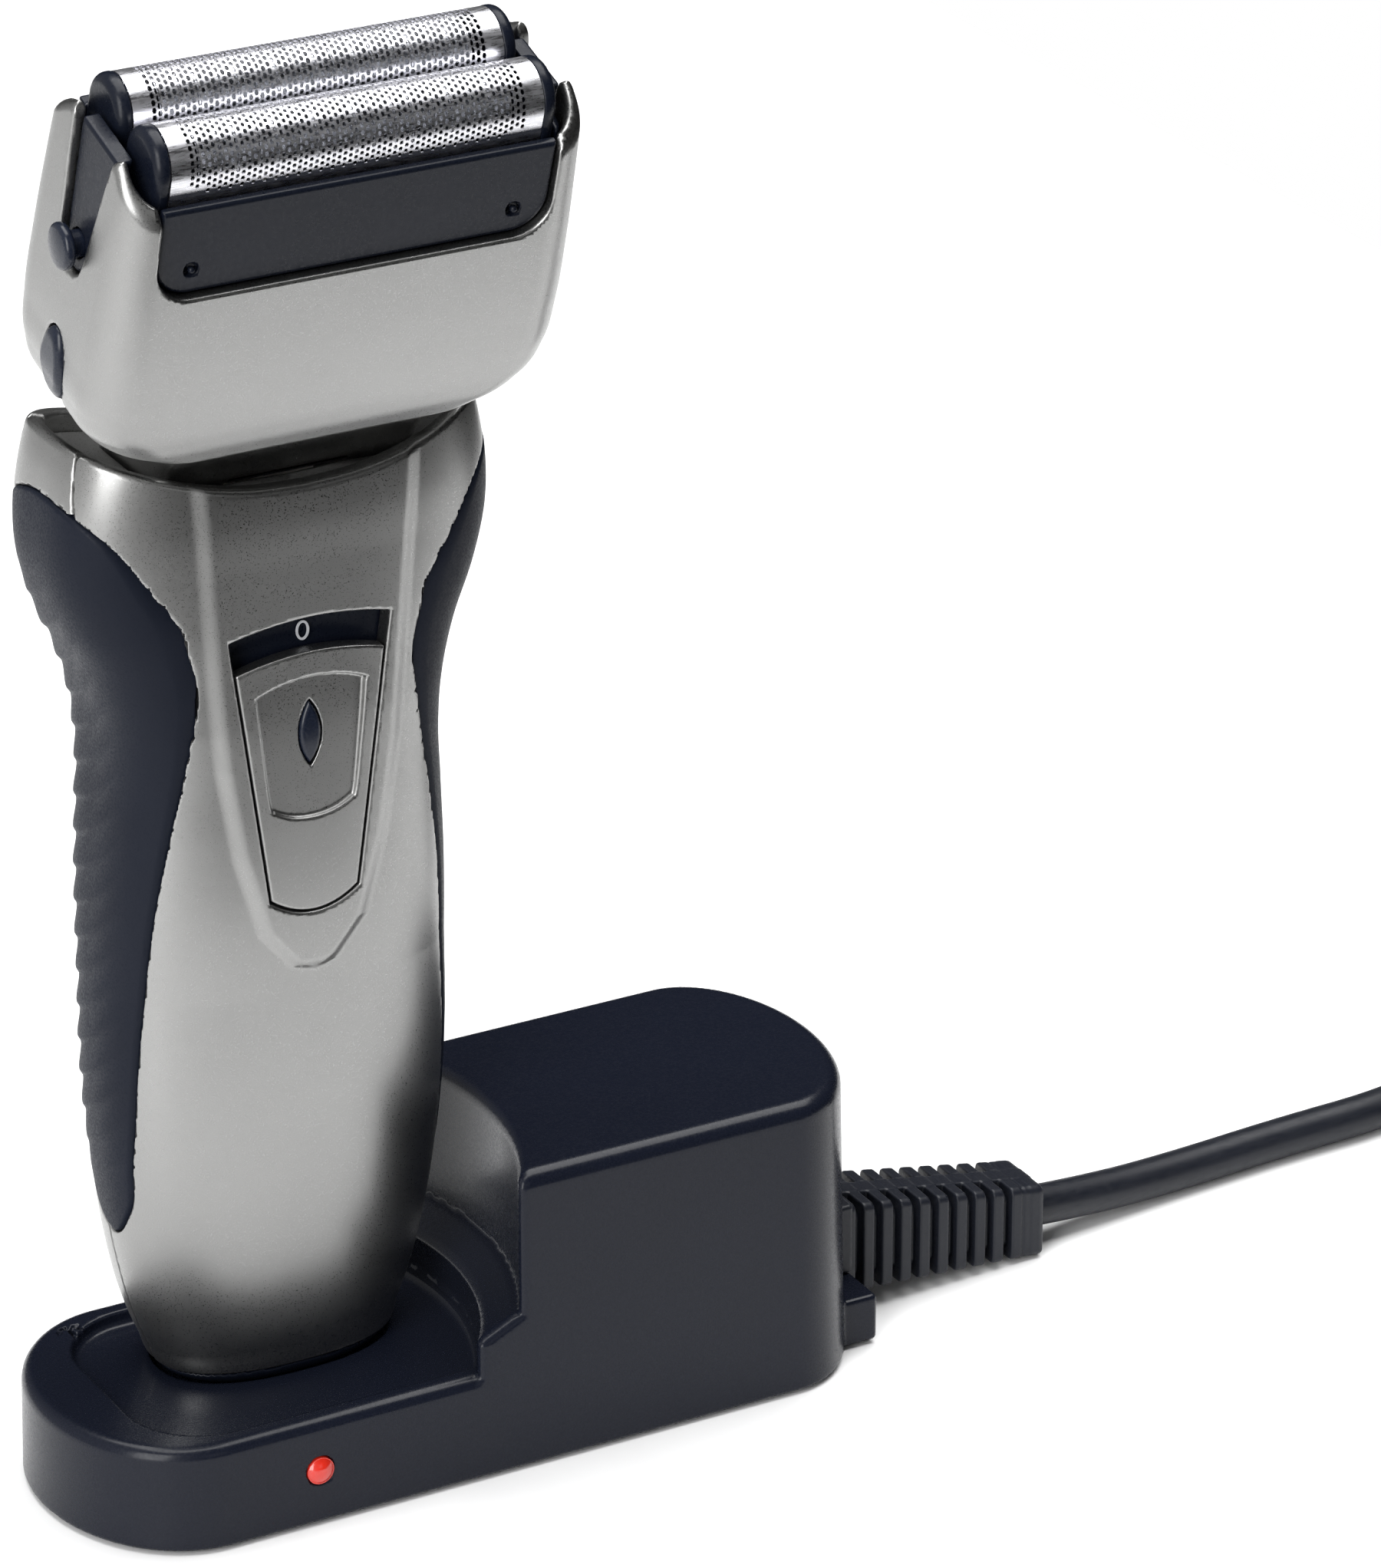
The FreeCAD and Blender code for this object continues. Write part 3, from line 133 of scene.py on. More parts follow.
M = {
    "silver": surface("SilverPaint", (0.315, 0.315, 0.31), 0.34, 1.0, 0.12, 0.05, 60, 7000, 0.10,
                      coat_rough=0.22, depth=0.00001),
    "stand": surface("StandPlastic", (0.0064, 0.0080, 0.0148), 0.27, 0, 0.05, 0.10, 70, 3200, 0.05,
                     specular=0.2, depth=0.00002),
    "cover": surface("CoverPlastic", (0.0095, 0.0115, 0.0195), 0.45, 0, 0, 0.15, 60, 2400, 0.12,
                     specular=0.3),
    "foot": surface("FootRubber", (0.010, 0.010, 0.012), 0.8, 0, 0, 0.2, 200, 3000, 0.2),
    "relief": surface("ReliefRubber", (0.0095, 0.0110, 0.0165), 0.42, 0, 0, 0.15, 150, 3500, 0.10,
                      specular=0.28),
    "cord": surface("CordVinyl", (0.0105, 0.0118, 0.0168), 0.40, 0, 0, 0.15, 110, 2800, 0.08,
                    stretch=(0.3, 1, 1), specular=0.3),
    "plug": surface("PlugPlastic", (0.0100, 0.0115, 0.0168), 0.36, 0, 0, 0.15, 90, 2600, 0.10,
                    specular=0.3),
    "grip": surface("GripRubber", (0.0062, 0.0085, 0.0162), 0.50, 0, 0, 0.12, 120, 4200, 0.10,
                    specular=0.13, depth=0.00003),
    "dark": surface("DarkPlastic", (0.0056, 0.0075, 0.0140), 0.32, 0, 0.03, 0.12, 90, 3000, 0.05,
                    specular=0.2, depth=0.00002),
    "button": surface("ButtonPlastic", (0.0085, 0.0118, 0.0225), 0.26, 0, 0.1, 0.12, 100, 3000, 0.05,
                      specular=0.3, depth=0.00002),
    "foil": surface("FoilSteel", (0.88, 0.88, 0.92), 0.30, 1.0, 0, 0.04, 300, 5200, 0.04,
                    stretch=(0.15, 1, 1), depth=0.00001),
    "blade": surface("BladeSteel", (0.50, 0.51, 0.54), 0.28, 1.0, 0, 0.10, 300, 5000, 0.10,
                     stretch=(1, 0.2, 1)),
    "steel": surface("ScrewSteel", (0.55, 0.55, 0.56), 0.30, 1.0, 0, 0.10, 400, 4200, 0.15),
    "brass": surface("PinBrass", (0.78, 0.68, 0.45), 0.25, 1.0, 0, 0.08, 300, 4200, 0.08,
                     stretch=(1, 0.2, 1)),
    "copper": surface("CopperWinding", (0.62, 0.24, 0.10), 0.35, 1.0, 0, 0.18, 900, 2500, 0.4,
                      stretch=(1, 1, 6)),
    "core": surface("CoreSteel", (0.20, 0.20, 0.21), 0.45, 0.9, 0, 0.15, 300, 2200, 0.3,
                    stretch=(8, 1, 1)),
    "board": surface("BoardGreen", (0.012, 0.085, 0.035), 0.40, 0, 0.3, 0.25, 500, 3000, 0.15),
    "chassis": surface("ChassisPlastic", (0.035, 0.036, 0.040), 0.50, 0, 0, 0.15, 90, 2200, 0.15),
    "cell": surface("CellWrap", (0.03, 0.10, 0.22), 0.30, 0, 0.4, 0.15, 200, 2200, 0.05),
    "drive": surface("DrivePlastic", (0.62, 0.61, 0.57), 0.42, 0, 0, 0.05, 120, 2400, 0.08),
    "lamp": surface("LampRed", (0.52, 0.022, 0.012), 0.16, 0, 0.6, 0.15, 900, 2500, 0.03),
    "print": surface("PrintedMark", (0.62, 0.63, 0.66), 0.5, 0, 0, 0.05, 300, 3000, 0.05),
}
lamp_shader = M["lamp"].node_tree.nodes["Principled BSDF"]
lamp_shader.inputs["Emission Color"].default_value = (0.9, 0.03, 0.01, 1)
lamp_shader.inputs["Emission Strength"].default_value = 0.12
lamp_shader.inputs["Subsurface Weight"].default_value = 0.2
lamp_shader.inputs["Subsurface Scale"].default_value = 0.001

# ---------------------------------------------------------------- cord

CORD_RADIUS = 0.00245
CORD_ROUTE = [(0.0774, 0.0006, 0.0047), (0.088, 0.0018, 0.00325), (0.101, 0.0033, 0.0025),
              (0.116, 0.0046, 0.00246), (0.131, 0.0050, 0.00246), (0.143, 0.0080, 0.00246),
              (0.152, 0.0134, 0.00246), (0.161, 0.0170, 0.00246)]
LEAD_ROUTE = [(0.215, 0.0176, 0.0171), (0.231, 0.0173, 0.01705), (0.246, 0.0123, 0.0110),
              (0.258, 0.0079, 0.00725), (0.270, 0.0073, 0.0069)]
HANK_LEFT, HANK_RIGHT, HANK_MIDDLE = 0.167, 0.223, -0.002
# The folded cord winds in two columns on four layers: end radius and height of each.
WIDE, TIGHT = 0.0190, 0.0141
LAYER = (0.0028, 0.0077, 0.0126, 0.0172)
SLACK = 0.0003
# State at the back run's end, right end, front run's end and left end of every turn.
TURNS = [[(WIDE, 0), (WIDE, 0), (WIDE, 0), (TIGHT, 0)], [(TIGHT, 0), (TIGHT, 0), (TIGHT, 1), (TIGHT, 1)],
         [(TIGHT, 1), (WIDE, 1), (WIDE, 1), (WIDE, 1)], [(WIDE, 2), (WIDE, 2), (WIDE, 2), (TIGHT, 2)],
         [(TIGHT, 2), (TIGHT, 2), (TIGHT, 3), (TIGHT, 3)], [(TIGHT, 3), (WIDE, 3), (WIDE, 3), (WIDE, 3)]]


def hank_spot(side, share, radius, height):
    """A point of the hank: side 0 is the back run, 1 the right end, 2 the front run, 3 the left end."""
    run = (HANK_RIGHT - HANK_LEFT) * share
    if side == 0:
        return (HANK_LEFT + run, HANK_MIDDLE + radius, height)
    if side == 2:
        return (HANK_RIGHT - run, HANK_MIDDLE - radius, height)
    turn = math.radians((90 if side == 1 else -90) - 180 * share)
    middle = HANK_RIGHT if side == 1 else HANK_LEFT
    return (middle + radius * math.cos(turn), HANK_MIDDLE + radius * math.sin(turn), height)


def hank_points():
    """The folded cord, clockwise from above, as its turns lie beside and on each other."""
    points = []
    before = (WIDE, 0)
    for number, turn in enumerate(TURNS):
        for side, after in enumerate(turn):
            steps = 7 if side % 2 else 4
            for step in range(steps):
                share = step / steps
                move = share * share * (3 - 2 * share)
                loose = SLACK * math.sin(2.6 * number + 1.9 * side + 5.0 * share) if number else 0
                radius = before[0] + (after[0] - before[0]) * move + loose * (0.35 if side % 2 else 1)
                height = LAYER[before[1]] + (LAYER[after[1]] - LAYER[before[1]]) * move
                points.append(hank_spot(side, share, radius, height))
            before = after
    points += [hank_spot(0, share, WIDE, LAYER[3]) for share in (0, 0.25, 0.5, 0.7)]
    return points


def cord_curve(name, points, radius):
    curve = bpy.data.curves.new(name, "CURVE")
    curve.dimensions = "3D"
    spline = curve.splines.new("NURBS")
    spline.points.add(len(points) - 1)
    for point, spot in zip(spline.points, points):
        point.co = (*spot, 1)
    spline.order_u = 3
    spline.use_endpoint_u = True
    spline.resolution_u = 8
    curve.bevel_depth = radius
    curve.bevel_resolution = 6
    curve.use_fill_caps = True
    item = bpy.data.objects.new(name, curve)
    bpy.context.scene.collection.objects.link(item)
    curve.materials.append(M["cord"])
    return item


cord = cord_curve("MainsCord", CORD_ROUTE + hank_points() + LEAD_ROUTE, CORD_RADIUS)
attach(cord, "stand")
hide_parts("mains_cord", "cord_coil", "plug_lead")

# ---------------------------------------------------------------- signed distance modelling


def smooth_table(rows):
    """A smooth curve through the rows of a table; its first column is the height."""
    table = np.array(rows, float)
    at, values = table[:, 0], table[:, 1:]
    slopes = np.gradient(values, at, axis=0)

    def look(height):
        h = np.clip(height, at[0], at[-1])
        low = np.clip(np.searchsorted(at, h) - 1, 0, len(at) - 2)
        step = (at[low + 1] - at[low])[:, None]
        t = ((h - at[low])[:, None]) / step
        a, b = values[low], values[low + 1]
        ma, mb = slopes[low] * step, slopes[low + 1] * step
        out = ((2 * t**3 - 3 * t**2 + 1) * a + (t**3 - 2 * t**2 + t) * ma
               + (-2 * t**3 + 3 * t**2) * b + (t**3 - t**2) * mb)
        return out.T
    return look


def both(a, b, r=0.3):
    """The part common to two forms, its edge rounded to radius r."""
    return np.minimum(np.maximum(a, b), -r) + np.hypot(np.maximum(a + r, 0), np.maximum(b + r, 0))


def either(a, b, r=0.3):
    """Two forms joined, with a fillet of radius r between them."""
    return -both(-a, -b, r)


def less(a, b, r=0.3):
    """The first form without the second, the rim rounded."""
    return both(a, -b, r)


def box_field(p, low, high, r=0.4):
    """A block with rounded edges."""
    centre = (np.array(low) + np.array(high)) / 2
    half = (np.array(high) - np.array(low)) / 2 - r
    q = np.abs(p - centre) - half
    return np.linalg.norm(np.maximum(q, 0), axis=1) + np.minimum(q.max(1), 0) - r


def round_rect(x, y, half_x, low, high, corner):
    """A rectangle with round corners in the plane."""
    qx = np.abs(x) - (half_x - corner)
    qy = np.abs(y - (low + high) / 2) - ((high - low) / 2 - corner)
    return np.hypot(np.maximum(qx, 0), np.maximum(qy, 0)) + np.minimum(np.maximum(qx, qy), 0) - corner


def outline(points, count=12):
    """A smooth closed line through a few points."""
    spots = np.array(points, float)
    before, after = np.roll(spots, 1, 0), np.roll(spots, -1, 0)
    slope = (after - before) / 2
    t = (np.arange(count) / count)[None, :, None]
    a, b, ma, mb = spots[:, None], after[:, None], slope[:, None], np.roll(slope, -1, 0)[:, None]
    line = ((2 * t**3 - 3 * t**2 + 1) * a + (t**3 - 2 * t**2 + t) * ma
            + (-2 * t**3 + 3 * t**2) * b + (t**3 - t**2) * mb)
    return line.reshape(-1, 2)


def flat_field(line, margin=8.0, cell=0.2):
    """The signed distance to a closed flat line, kept on a grid and read between its points."""
    low, high = line.min(0) - margin, line.max(0) + margin
    us = np.arange(low[0], high[0] + cell, cell)
    vs = np.arange(low[1], high[1] + cell, cell)
    grid = np.stack(np.meshgrid(us, vs, indexing="ij"), -1).reshape(-1, 2)
    nearest = np.full(len(grid), 1e9)
    inside = np.zeros(len(grid), bool)
    for a, b in zip(line, np.roll(line, -1, 0)):
        run = b - a
        t = np.clip(((grid - a) @ run) / max(run @ run, 1e-12), 0, 1)
        nearest = np.minimum(nearest, ((grid - a - t[:, None] * run) ** 2).sum(1))
        crosses = (a[1] > grid[:, 1]) != (b[1] > grid[:, 1])
        if abs(run[1]) > 1e-12:
            inside ^= crosses & (grid[:, 0] < a[0] + (grid[:, 1] - a[1]) * run[0] / run[1])
    values = (np.sqrt(nearest) * np.where(inside, -1, 1)).reshape(len(us), len(vs))

    def look(u, v):
        gu = np.clip((u - us[0]) / cell, 0, len(us) - 1.001)
        gv = np.clip((v - vs[0]) / cell, 0, len(vs) - 1.001)
        i, j = gu.astype(int), gv.astype(int)
        fu, fv = gu - i, gv - j
        return ((1 - fu) * (1 - fv) * values[i, j] + fu * (1 - fv) * values[i + 1, j]
                + (1 - fu) * fv * values[i, j + 1] + fu * fv * values[i + 1, j + 1])
    return look


def slope_of(field, points, step=0.02):
    columns = []
    for axis in range(3):
        shift = np.zeros(3)
        shift[axis] = step
        columns.append((field(points + shift) - field(points - shift)) / (2 * step))
    return np.stack(columns, 1)


SLAB, PULLS = 16, 4  # grid planes measured at a time; steps that pull the vertices onto the surface


def surface_net(field, low, high, cell):
    """Vertices, quads and normals of a field's zero surface, on a grid of cells."""
    low = np.array(low, float)
    counts = np.ceil((np.array(high) - low) / cell).astype(int) + 1
    axes = [low[k] + cell * np.arange(counts[k]) for k in range(3)]
    values = np.empty(counts)
    for first in range(0, counts[0], SLAB):
        some = np.stack(np.meshgrid(axes[0][first:first + SLAB], axes[1], axes[2], indexing="ij"), -1)
        values[first:first + SLAB] = field(some.reshape(-1, 3)).reshape(some.shape[:3])
    cells = counts - 1
    total, hits = np.zeros((*cells, 3)), np.zeros(cells)
    crossings = []
    for axis in range(3):
        first, second = [slice(None)] * 3, [slice(None)] * 3
        first[axis], second[axis] = slice(0, -1), slice(1, None)
        a, b = values[tuple(first)], values[tuple(second)]
        crossed = (a < 0) != (b < 0)
        share = np.where(crossed, a / np.where(crossed, a - b, 1), 0)
        crossings.append((crossed, a < 0))
        others = [k for k in range(3) if k != axis]
        for du in (0, 1):
            for dv in (0, 1):
                part = [slice(None)] * 3
                part[others[0]] = slice(du, du + cells[others[0]])
                part[others[1]] = slice(dv, dv + cells[others[1]])
                edge = crossed[tuple(part)]
                total[..., axis] += share[tuple(part)]
                total[..., others[0]] += du * edge
                total[..., others[1]] += dv * edge
                hits += edge
    used = hits > 0
    number = np.full(cells, -1)
    number[used] = np.arange(used.sum())
    spots = np.argwhere(used) + total[used] / hits[used][:, None]
    points = low + spots * cell
    quads = []
    for axis in range(3):
        crossed, starts_inside = crossings[axis]
        u, v = (axis + 1) % 3, (axis + 2) % 3
        where = np.argwhere(crossed)
        keep = ((where[:, u] > 0) & (where[:, u] < cells[u]) & (where[:, v] > 0)
                & (where[:, v] < cells[v]))
        where = where[keep]
        corners = []
        for du, dv in ((1, 1), (0, 1), (0, 0), (1, 0)):
            spot = where.copy()
            spot[:, u] -= du
            spot[:, v] -= dv
            corners.append(number[spot[:, 0], spot[:, 1], spot[:, 2]])
        quad = np.stack(corners, 1)
        outward = starts_inside[tuple(where.T)]
        quad[~outward] = quad[~outward][:, ::-1]
        quads.append(quad)
    for _ in range(PULLS):
        slope = slope_of(field, points)
        push = field(points)[:, None] * slope / np.maximum((slope**2).sum(1), 0.05)[:, None]
        length = np.linalg.norm(push, axis=1)[:, None]
        points = points - push * np.minimum(1, 0.5 * cell / np.maximum(length, 1e-9))
    slope = slope_of(field, points)
    normals = slope / np.maximum(np.linalg.norm(slope, axis=1)[:, None], 1e-9)
    return points, np.concatenate(quads), normals


def add_mesh(name, points, faces, normals=None, smooth=True):
    mesh = bpy.data.meshes.new(name)
    mesh.from_pydata([tuple(p) for p in np.asarray(points) * MM], [],
                     [tuple(int(i) for i in face) for face in faces])
    if smooth:
        mesh.polygons.foreach_set("use_smooth", np.ones(len(mesh.polygons), bool))
    if normals is not None:
        mesh.normals_split_custom_set_from_vertices(np.asarray(normals).tolist())
    mesh.update()
    item = bpy.data.objects.new(name, mesh)
    bpy.context.scene.collection.objects.link(item)
    return item


def dress(item, body, slot, finish, *replaced):
    item.data.materials.append(M[finish])
    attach(item, body)
    if replaced:
        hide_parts(*replaced)
    return item


def form(name, field, node, cell, body, slot, finish, margin=0.8, placed=None):
    """A piece made from a field, in the room of the CAD node that it stands for."""
    low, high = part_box(node)
    corners = np.array([low, high]) / MM
    if placed is not None:
        sides = np.array([[corners[i][0], corners[j][1], corners[k][2]]
                          for i in (0, 1) for j in (0, 1) for k in (0, 1)])
        local = placed.into(sides)
        corners = np.array([local.min(0), local.max(0)])
    points, quads, normals = surface_net(field, corners[0] - margin, corners[1] + margin, cell * COARSE)
    if placed is not None:
        points, normals = placed.out(points), normals @ placed.turn.T
    return dress(add_mesh(name, points, quads, normals), body, slot, finish, node)


class Leaning:
    """The head's own frame: it leans forward about X from a point on the handle's axis."""

    def __init__(self, origin, degrees):
        angle = math.radians(degrees)
        self.origin = np.array(origin, float)
        self.turn = np.array([[1, 0, 0], [0, math.cos(angle), -math.sin(angle)],
                              [0, math.sin(angle), math.cos(angle)]])

    def into(self, points):
        return (points - self.origin) @ self.turn

    def out(self, points):
        return points @ self.turn.T + self.origin


HANDLE_X, HANDLE_Y = -18.6, 4.2
HEAD = Leaning((HANDLE_X, -17.07, 166.44), 18.5)

# ---------------------------------------------------------------- handle

# height, half width, front and back of the handle's level sections
HANDLE_SECTIONS = [
    (9.6, 10.5, -1.6, 10.6), (11.2, 13.2, -3.4, 12.6), (15, 15.2, -4.4, 14.0), (20, 17.0, -5.2, 14.8),
    (27, 18.6, -6.2, 15.4), (37, 19.9, -7.4, 15.8), (47, 20.6, -8.2, 16.2), (58, 20.6, -8.8, 16.6),
    (70, 20.2, -9.4, 16.9), (79, 19.6, -9.6, 17.0), (86, 19.2, -9.7, 17.0), (92, 19.6, -9.8, 17.1),
    (98, 21.2, -9.8, 17.3), (104, 23.7, -9.9, 17.5), (110, 25.2, -10.1, 17.6), (116, 25.2, -10.4, 17.6),
    (121, 24.4, -10.4, 17.2), (126, 23.0, -10.2, 16.4),
]
GRIP_OUTLINE = [(3.0, 30.1), (-0.3, 34.2), (-1.3, 40), (-2.3, 47), (-3.6, 60), (-6.3, 79.5), (-8.3, 94),
                (-8.65, 102.3), (-8.5, 107.2), (-7.2, 113.9), (-4.4, 117.1), (0.6, 118.5), (6.5, 117.9),
                (11.6, 115.2), (14.0, 108), (14.4, 98), (13.2, 86), (11.6, 72), (10.6, 56), (9.2, 42),
                (7.2, 33.4)]
SHOULDER_OUTLINE = [(-3.6, 117.4), (-1.6, 132), (9.4, 132), (11.4, 115.6)]
RIM = [(0, 119.5), (6.5, 119.9), (13, 121.2), (20, 123.4), (26, 125.6), (32, 128)]
GRIP_INNER, WALL, HALF_SEAM, FOOT_SEAM = 12.6, 2.0, 0.06, 12.2
# The switch opening and the plate that slides in it: heights, half widths and the sags of their ends.
OPENING_TOP, OPENING_BOTTOM, OPENING_HALF_TOP, OPENING_HALF_BOTTOM = 104.1, 69.8, 9.45, 5.3
PLATE_TOP, PLATE_BOTTOM, PLATE_GAP, PLATE_LIFT = 100.2, 70.0, 0.2, 0.42
TOP_SAG, BOTTOM_SAG = 1.3, 1.9
LENS_HALF, LENS_RISE, LENS_HEIGHT = 1.25, 3.7, 90.5
# The trimmer on the back: its pin, its recess and the arm that lies in it.
TRIMMER_PIN_Y, TRIMMER_PIN_Z = 15.2, 84
RECESS_HALF, RECESS_Y, RECESS_LOW, RECESS_HIGH = 8.95, 13.4, 79.8, 112.9
ARM_HALF, ARM_Y, ARM_LOW, ARM_HIGH = 8.5, 13.9, 80.6, 109.2
FAR = 40

section_at = smooth_table(HANDLE_SECTIONS)
rim_at = smooth_table(RIM)
grip_edge = flat_field(outline(GRIP_OUTLINE), 8, 0.1)
shoulder_edge = flat_field(np.array(SHOULDER_OUTLINE, float))


def handle_field(p, grow=0.0):
    """The handle's outer form: super-ellipses whose sizes change smoothly with height."""
    half, front, back = section_at(p[:, 2])
    a, b = half + grow, (back - front) / 2 + grow
    power = 2.4 + 0.7 * np.clip((p[:, 2] - 60) / 32, 0, 1)
    u = np.maximum(np.abs(p[:, 0] - HANDLE_X) / a, 1e-4)
    v = np.maximum(np.abs(p[:, 1] - (front + back) / 2) / b, 1e-4)
    reach = (u**power + v**power) ** (1 / power)
    slope = np.hypot((u / reach) ** (power - 1) / a, (v / reach) ** (power - 1) / b)
    return (reach - 1) / slope


def ramp(value):
    t = np.clip(value, 0, 1)
    return t * t * (3 - 2 * t)


def side_of(p):
    return np.abs(p[:, 0] - HANDLE_X)


def ridge_lift(p):
    """How far the panel stands proud between the two soft ridge lines."""
    z = p[:, 2]
    half = np.interp(z, [62.4, 63.4, 68, 77.5, 88, 99, 120], [0, 2.2, 6, 8.7, 10.4, 11.3, 12.7])
    low = ramp((z - 62.2) / 2.0)
    return 0.5 * ramp((half - side_of(p)) / 2.2 + 0.4) * low


def skin(p, lift=0.0):
    return less(handle_field(p) - lift, np.maximum(handle_field(p, -WALL), 15 - p[:, 2]), 0.25)


def grip_region(p):
    return np.maximum(grip_edge(p[:, 1], p[:, 2]), GRIP_INNER - side_of(p))


def beside(p):
    """The region of the grips and shoulders, grown by a seam."""
    return np.minimum(grip_region(p), shoulder_edge(p[:, 1], p[:, 2])) - HALF_SEAM


def over_rim(p, drop=0.0):
    return (p[:, 2] - rim_at(side_of(p))[0] + drop) * 0.93


def slot_outline(gap, top, bottom):
    """The switch opening: sides that converge downwards between two arcs."""
    tall = OPENING_TOP - TOP_SAG - OPENING_BOTTOM - BOTTOM_SAG
    slope = (OPENING_HALF_TOP - OPENING_HALF_BOTTOM) / tall

    def half(z):
        return OPENING_HALF_BOTTOM + (z - OPENING_BOTTOM - BOTTOM_SAG) * slope - gap
    steps = np.linspace(-1, 1, 15)
    lower = [(half(bottom + BOTTOM_SAG) * t, bottom + BOTTOM_SAG * t * t) for t in steps]
    upper = [(half(top - TOP_SAG) * t, top - TOP_SAG * t * t) for t in steps[::-1]]
    return flat_field(np.array(lower + upper, float), 6, 0.15)


slot_edge = slot_outline(0, OPENING_TOP, OPENING_BOTTOM)
plate_edge = slot_outline(PLATE_GAP, PLATE_TOP, PLATE_BOTTOM)
scoop_edge = flat_field(outline([(-6.2, 95.9), (-3.2, 96.9), (0, 97.2), (3.2, 96.9), (6.2, 95.9), (6.3, 95.0),
                                 (5.7, 89), (5.0, 83.1), (4.4, 82.2), (2.4, 81.3), (0, 81.0), (-2.4, 81.3),
                                 (-4.4, 82.2), (-5.0, 83.1), (-5.7, 89), (-6.3, 95.0)]), 6, 0.15)


def panel(p, outer, past_split):
    """A half of the handle's painted shell, between the grips, the rim and the foot cap."""
    body = both(outer, past_split + HALF_SEAM, 0.2)
    body = less(body, beside(p), 0.32)
    body = both(body, over_rim(p), 0.8)
    return both(body, FOOT_SEAM + HALF_SEAM - p[:, 2], 0.2)


def front_panel(p):
    body = panel(p, skin(p, ridge_lift(p)), p[:, 1] - HANDLE_Y)
    return less(body, np.maximum(slot_edge(p[:, 0] - HANDLE_X, p[:, 2]), p[:, 1]), 0.35)


def rear_panel(p):
    recess = box_field(p, (HANDLE_X - RECESS_HALF, RECESS_Y, RECESS_LOW),
                       (HANDLE_X + RECESS_HALF, FAR, RECESS_HIGH), 1.2)
    return less(panel(p, skin(p), HANDLE_Y - p[:, 1]), recess, 0.35)


def foot_cap(p):
    """The handle's lower end."""
    body = both(handle_field(p), p[:, 2] - FOOT_SEAM + HALF_SEAM, 0.2)
    body = both(body, 9.6 - p[:, 2], 0.8)
    return less(body, np.maximum(handle_field(p, -WALL), 11.3 - p[:, 2]), 0.2)


def ribs(p):
    """Soft shingled folds on the side of the grip; they fade out at its front edge and ends."""
    y, z = p[:, 1], p[:, 2]
    phase = (z + 0.55 * (y - 5) + 0.8 * np.sin(0.32 * y)) / 4.1
    phase = phase - np.floor(phase)
    fold = np.where(phase < 0.24, ramp(phase / 0.24), ramp((1 - phase) / 0.76))
    across = ramp((y + 2.0) / 7.0) * ramp((14.0 - y) / 4.0)
    along = ramp((110 - z) / 9) * ramp((z - 33) / 14)
    return 0.36 * (fold - 0.4) * across * along


def grip(sign):
    def field(p):
        body = less(handle_field(p) - ribs(p) - 0.08, handle_field(p, -WALL), 0.25)
        body = both(body, grip_region(p) + HALF_SEAM, 0.35)
        return both(body, -sign * (p[:, 0] - HANDLE_X), 0.1)
    return field


def shoulder(sign):
    def field(p):
        body = both(skin(p), shoulder_edge(p[:, 1], p[:, 2]) + HALF_SEAM, 0.22)
        body = less(body, grip_region(p) - HALF_SEAM, 0.22)
        body = both(body, over_rim(p), 0.8)
        return both(body, -sign * (p[:, 0] - HANDLE_X), 0.1)
    return field


NECK_CORNER = 1.7
neck_at = smooth_table([(-62, 14.0, -1.0, 11.0), (-50, 14.8, -3.4, 10.2), (-45, 15.2, -5.0, 8.8),
                        (-41.5, 15.2, -6.2, 6.9), (-33, 14.6, -6.2, 6.2)])


def neck_room(p, grow=0.0):
    """The neck's outer form, in line with the head."""
    q = HEAD.into(p)
    half, front, back = neck_at(q[:, 2])
    return round_rect(q[:, 0], q[:, 1], half + grow, front - grow, back + grow, NECK_CORNER + grow)


def collar(p):
    """A dish that falls from the rim and rises again to the neck as a low arched tongue."""
    tongue = 1.5 * ramp((3.2 - neck_room(p)) / 3.0) * ramp((13.5 - side_of(p)) / 9)
    body = both(handle_field(p, -WALL - 0.15), over_rim(p, 2.2 - tongue), 0.3)
    body = less(body, over_rim(p, 4.0), 0.2)
    return less(body, neck_room(p, 0.35), 0.25)


def neck(p):
    """The stem from the handle up into the head, hollow for the drive."""
    q = HEAD.into(p)
    body = both(neck_room(p), q[:, 2] + 33.2, 0.6)
    body = both(body, 108.5 - p[:, 2], 0.3)
    body = both(body, np.minimum(handle_field(p, -WALL - 1.3), 118.3 - p[:, 2]), 0.2)
    return less(body, box_field(q, (-7.2, -3.5, -80), (7.2, 9.5, -20), 0.3), 0.2)


def switch_plate(p):
    """The sliding plate, with a thumb scoop that deepens upwards."""
    face = handle_field(p) - PLATE_LIFT
    body = both(face, p[:, 1] + 8.25, 0.15)
    body = both(body, plate_edge(p[:, 0] - HANDLE_X, p[:, 2]), 0.3)
    dip = 0.55 + 0.35 * np.clip((p[:, 2] - 81) / 16, 0, 1)
    scoop = both(scoop_edge(p[:, 0] - HANDLE_X, p[:, 2]), -(face + dip), 0.35)
    body = less(body, scoop, 0.35)
    return less(body, lens(p, 0.12), 0.12)


def lens(p, grow=0.0):
    """An upright pointed oval in the switch plate's face."""
    radius = (LENS_HALF**2 + LENS_RISE**2) / (2 * LENS_HALF)
    return np.hypot(side_of(p) + radius - LENS_HALF, p[:, 2] - LENS_HEIGHT) - radius - grow


def switch_lock(p):
    face = handle_field(p) + 0.05 + 0.30 * ((p[:, 2] - LENS_HEIGHT) / LENS_RISE) ** 2
    return both(both(lens(p), face, 0.5), p[:, 1] + 7.8, 0.1)


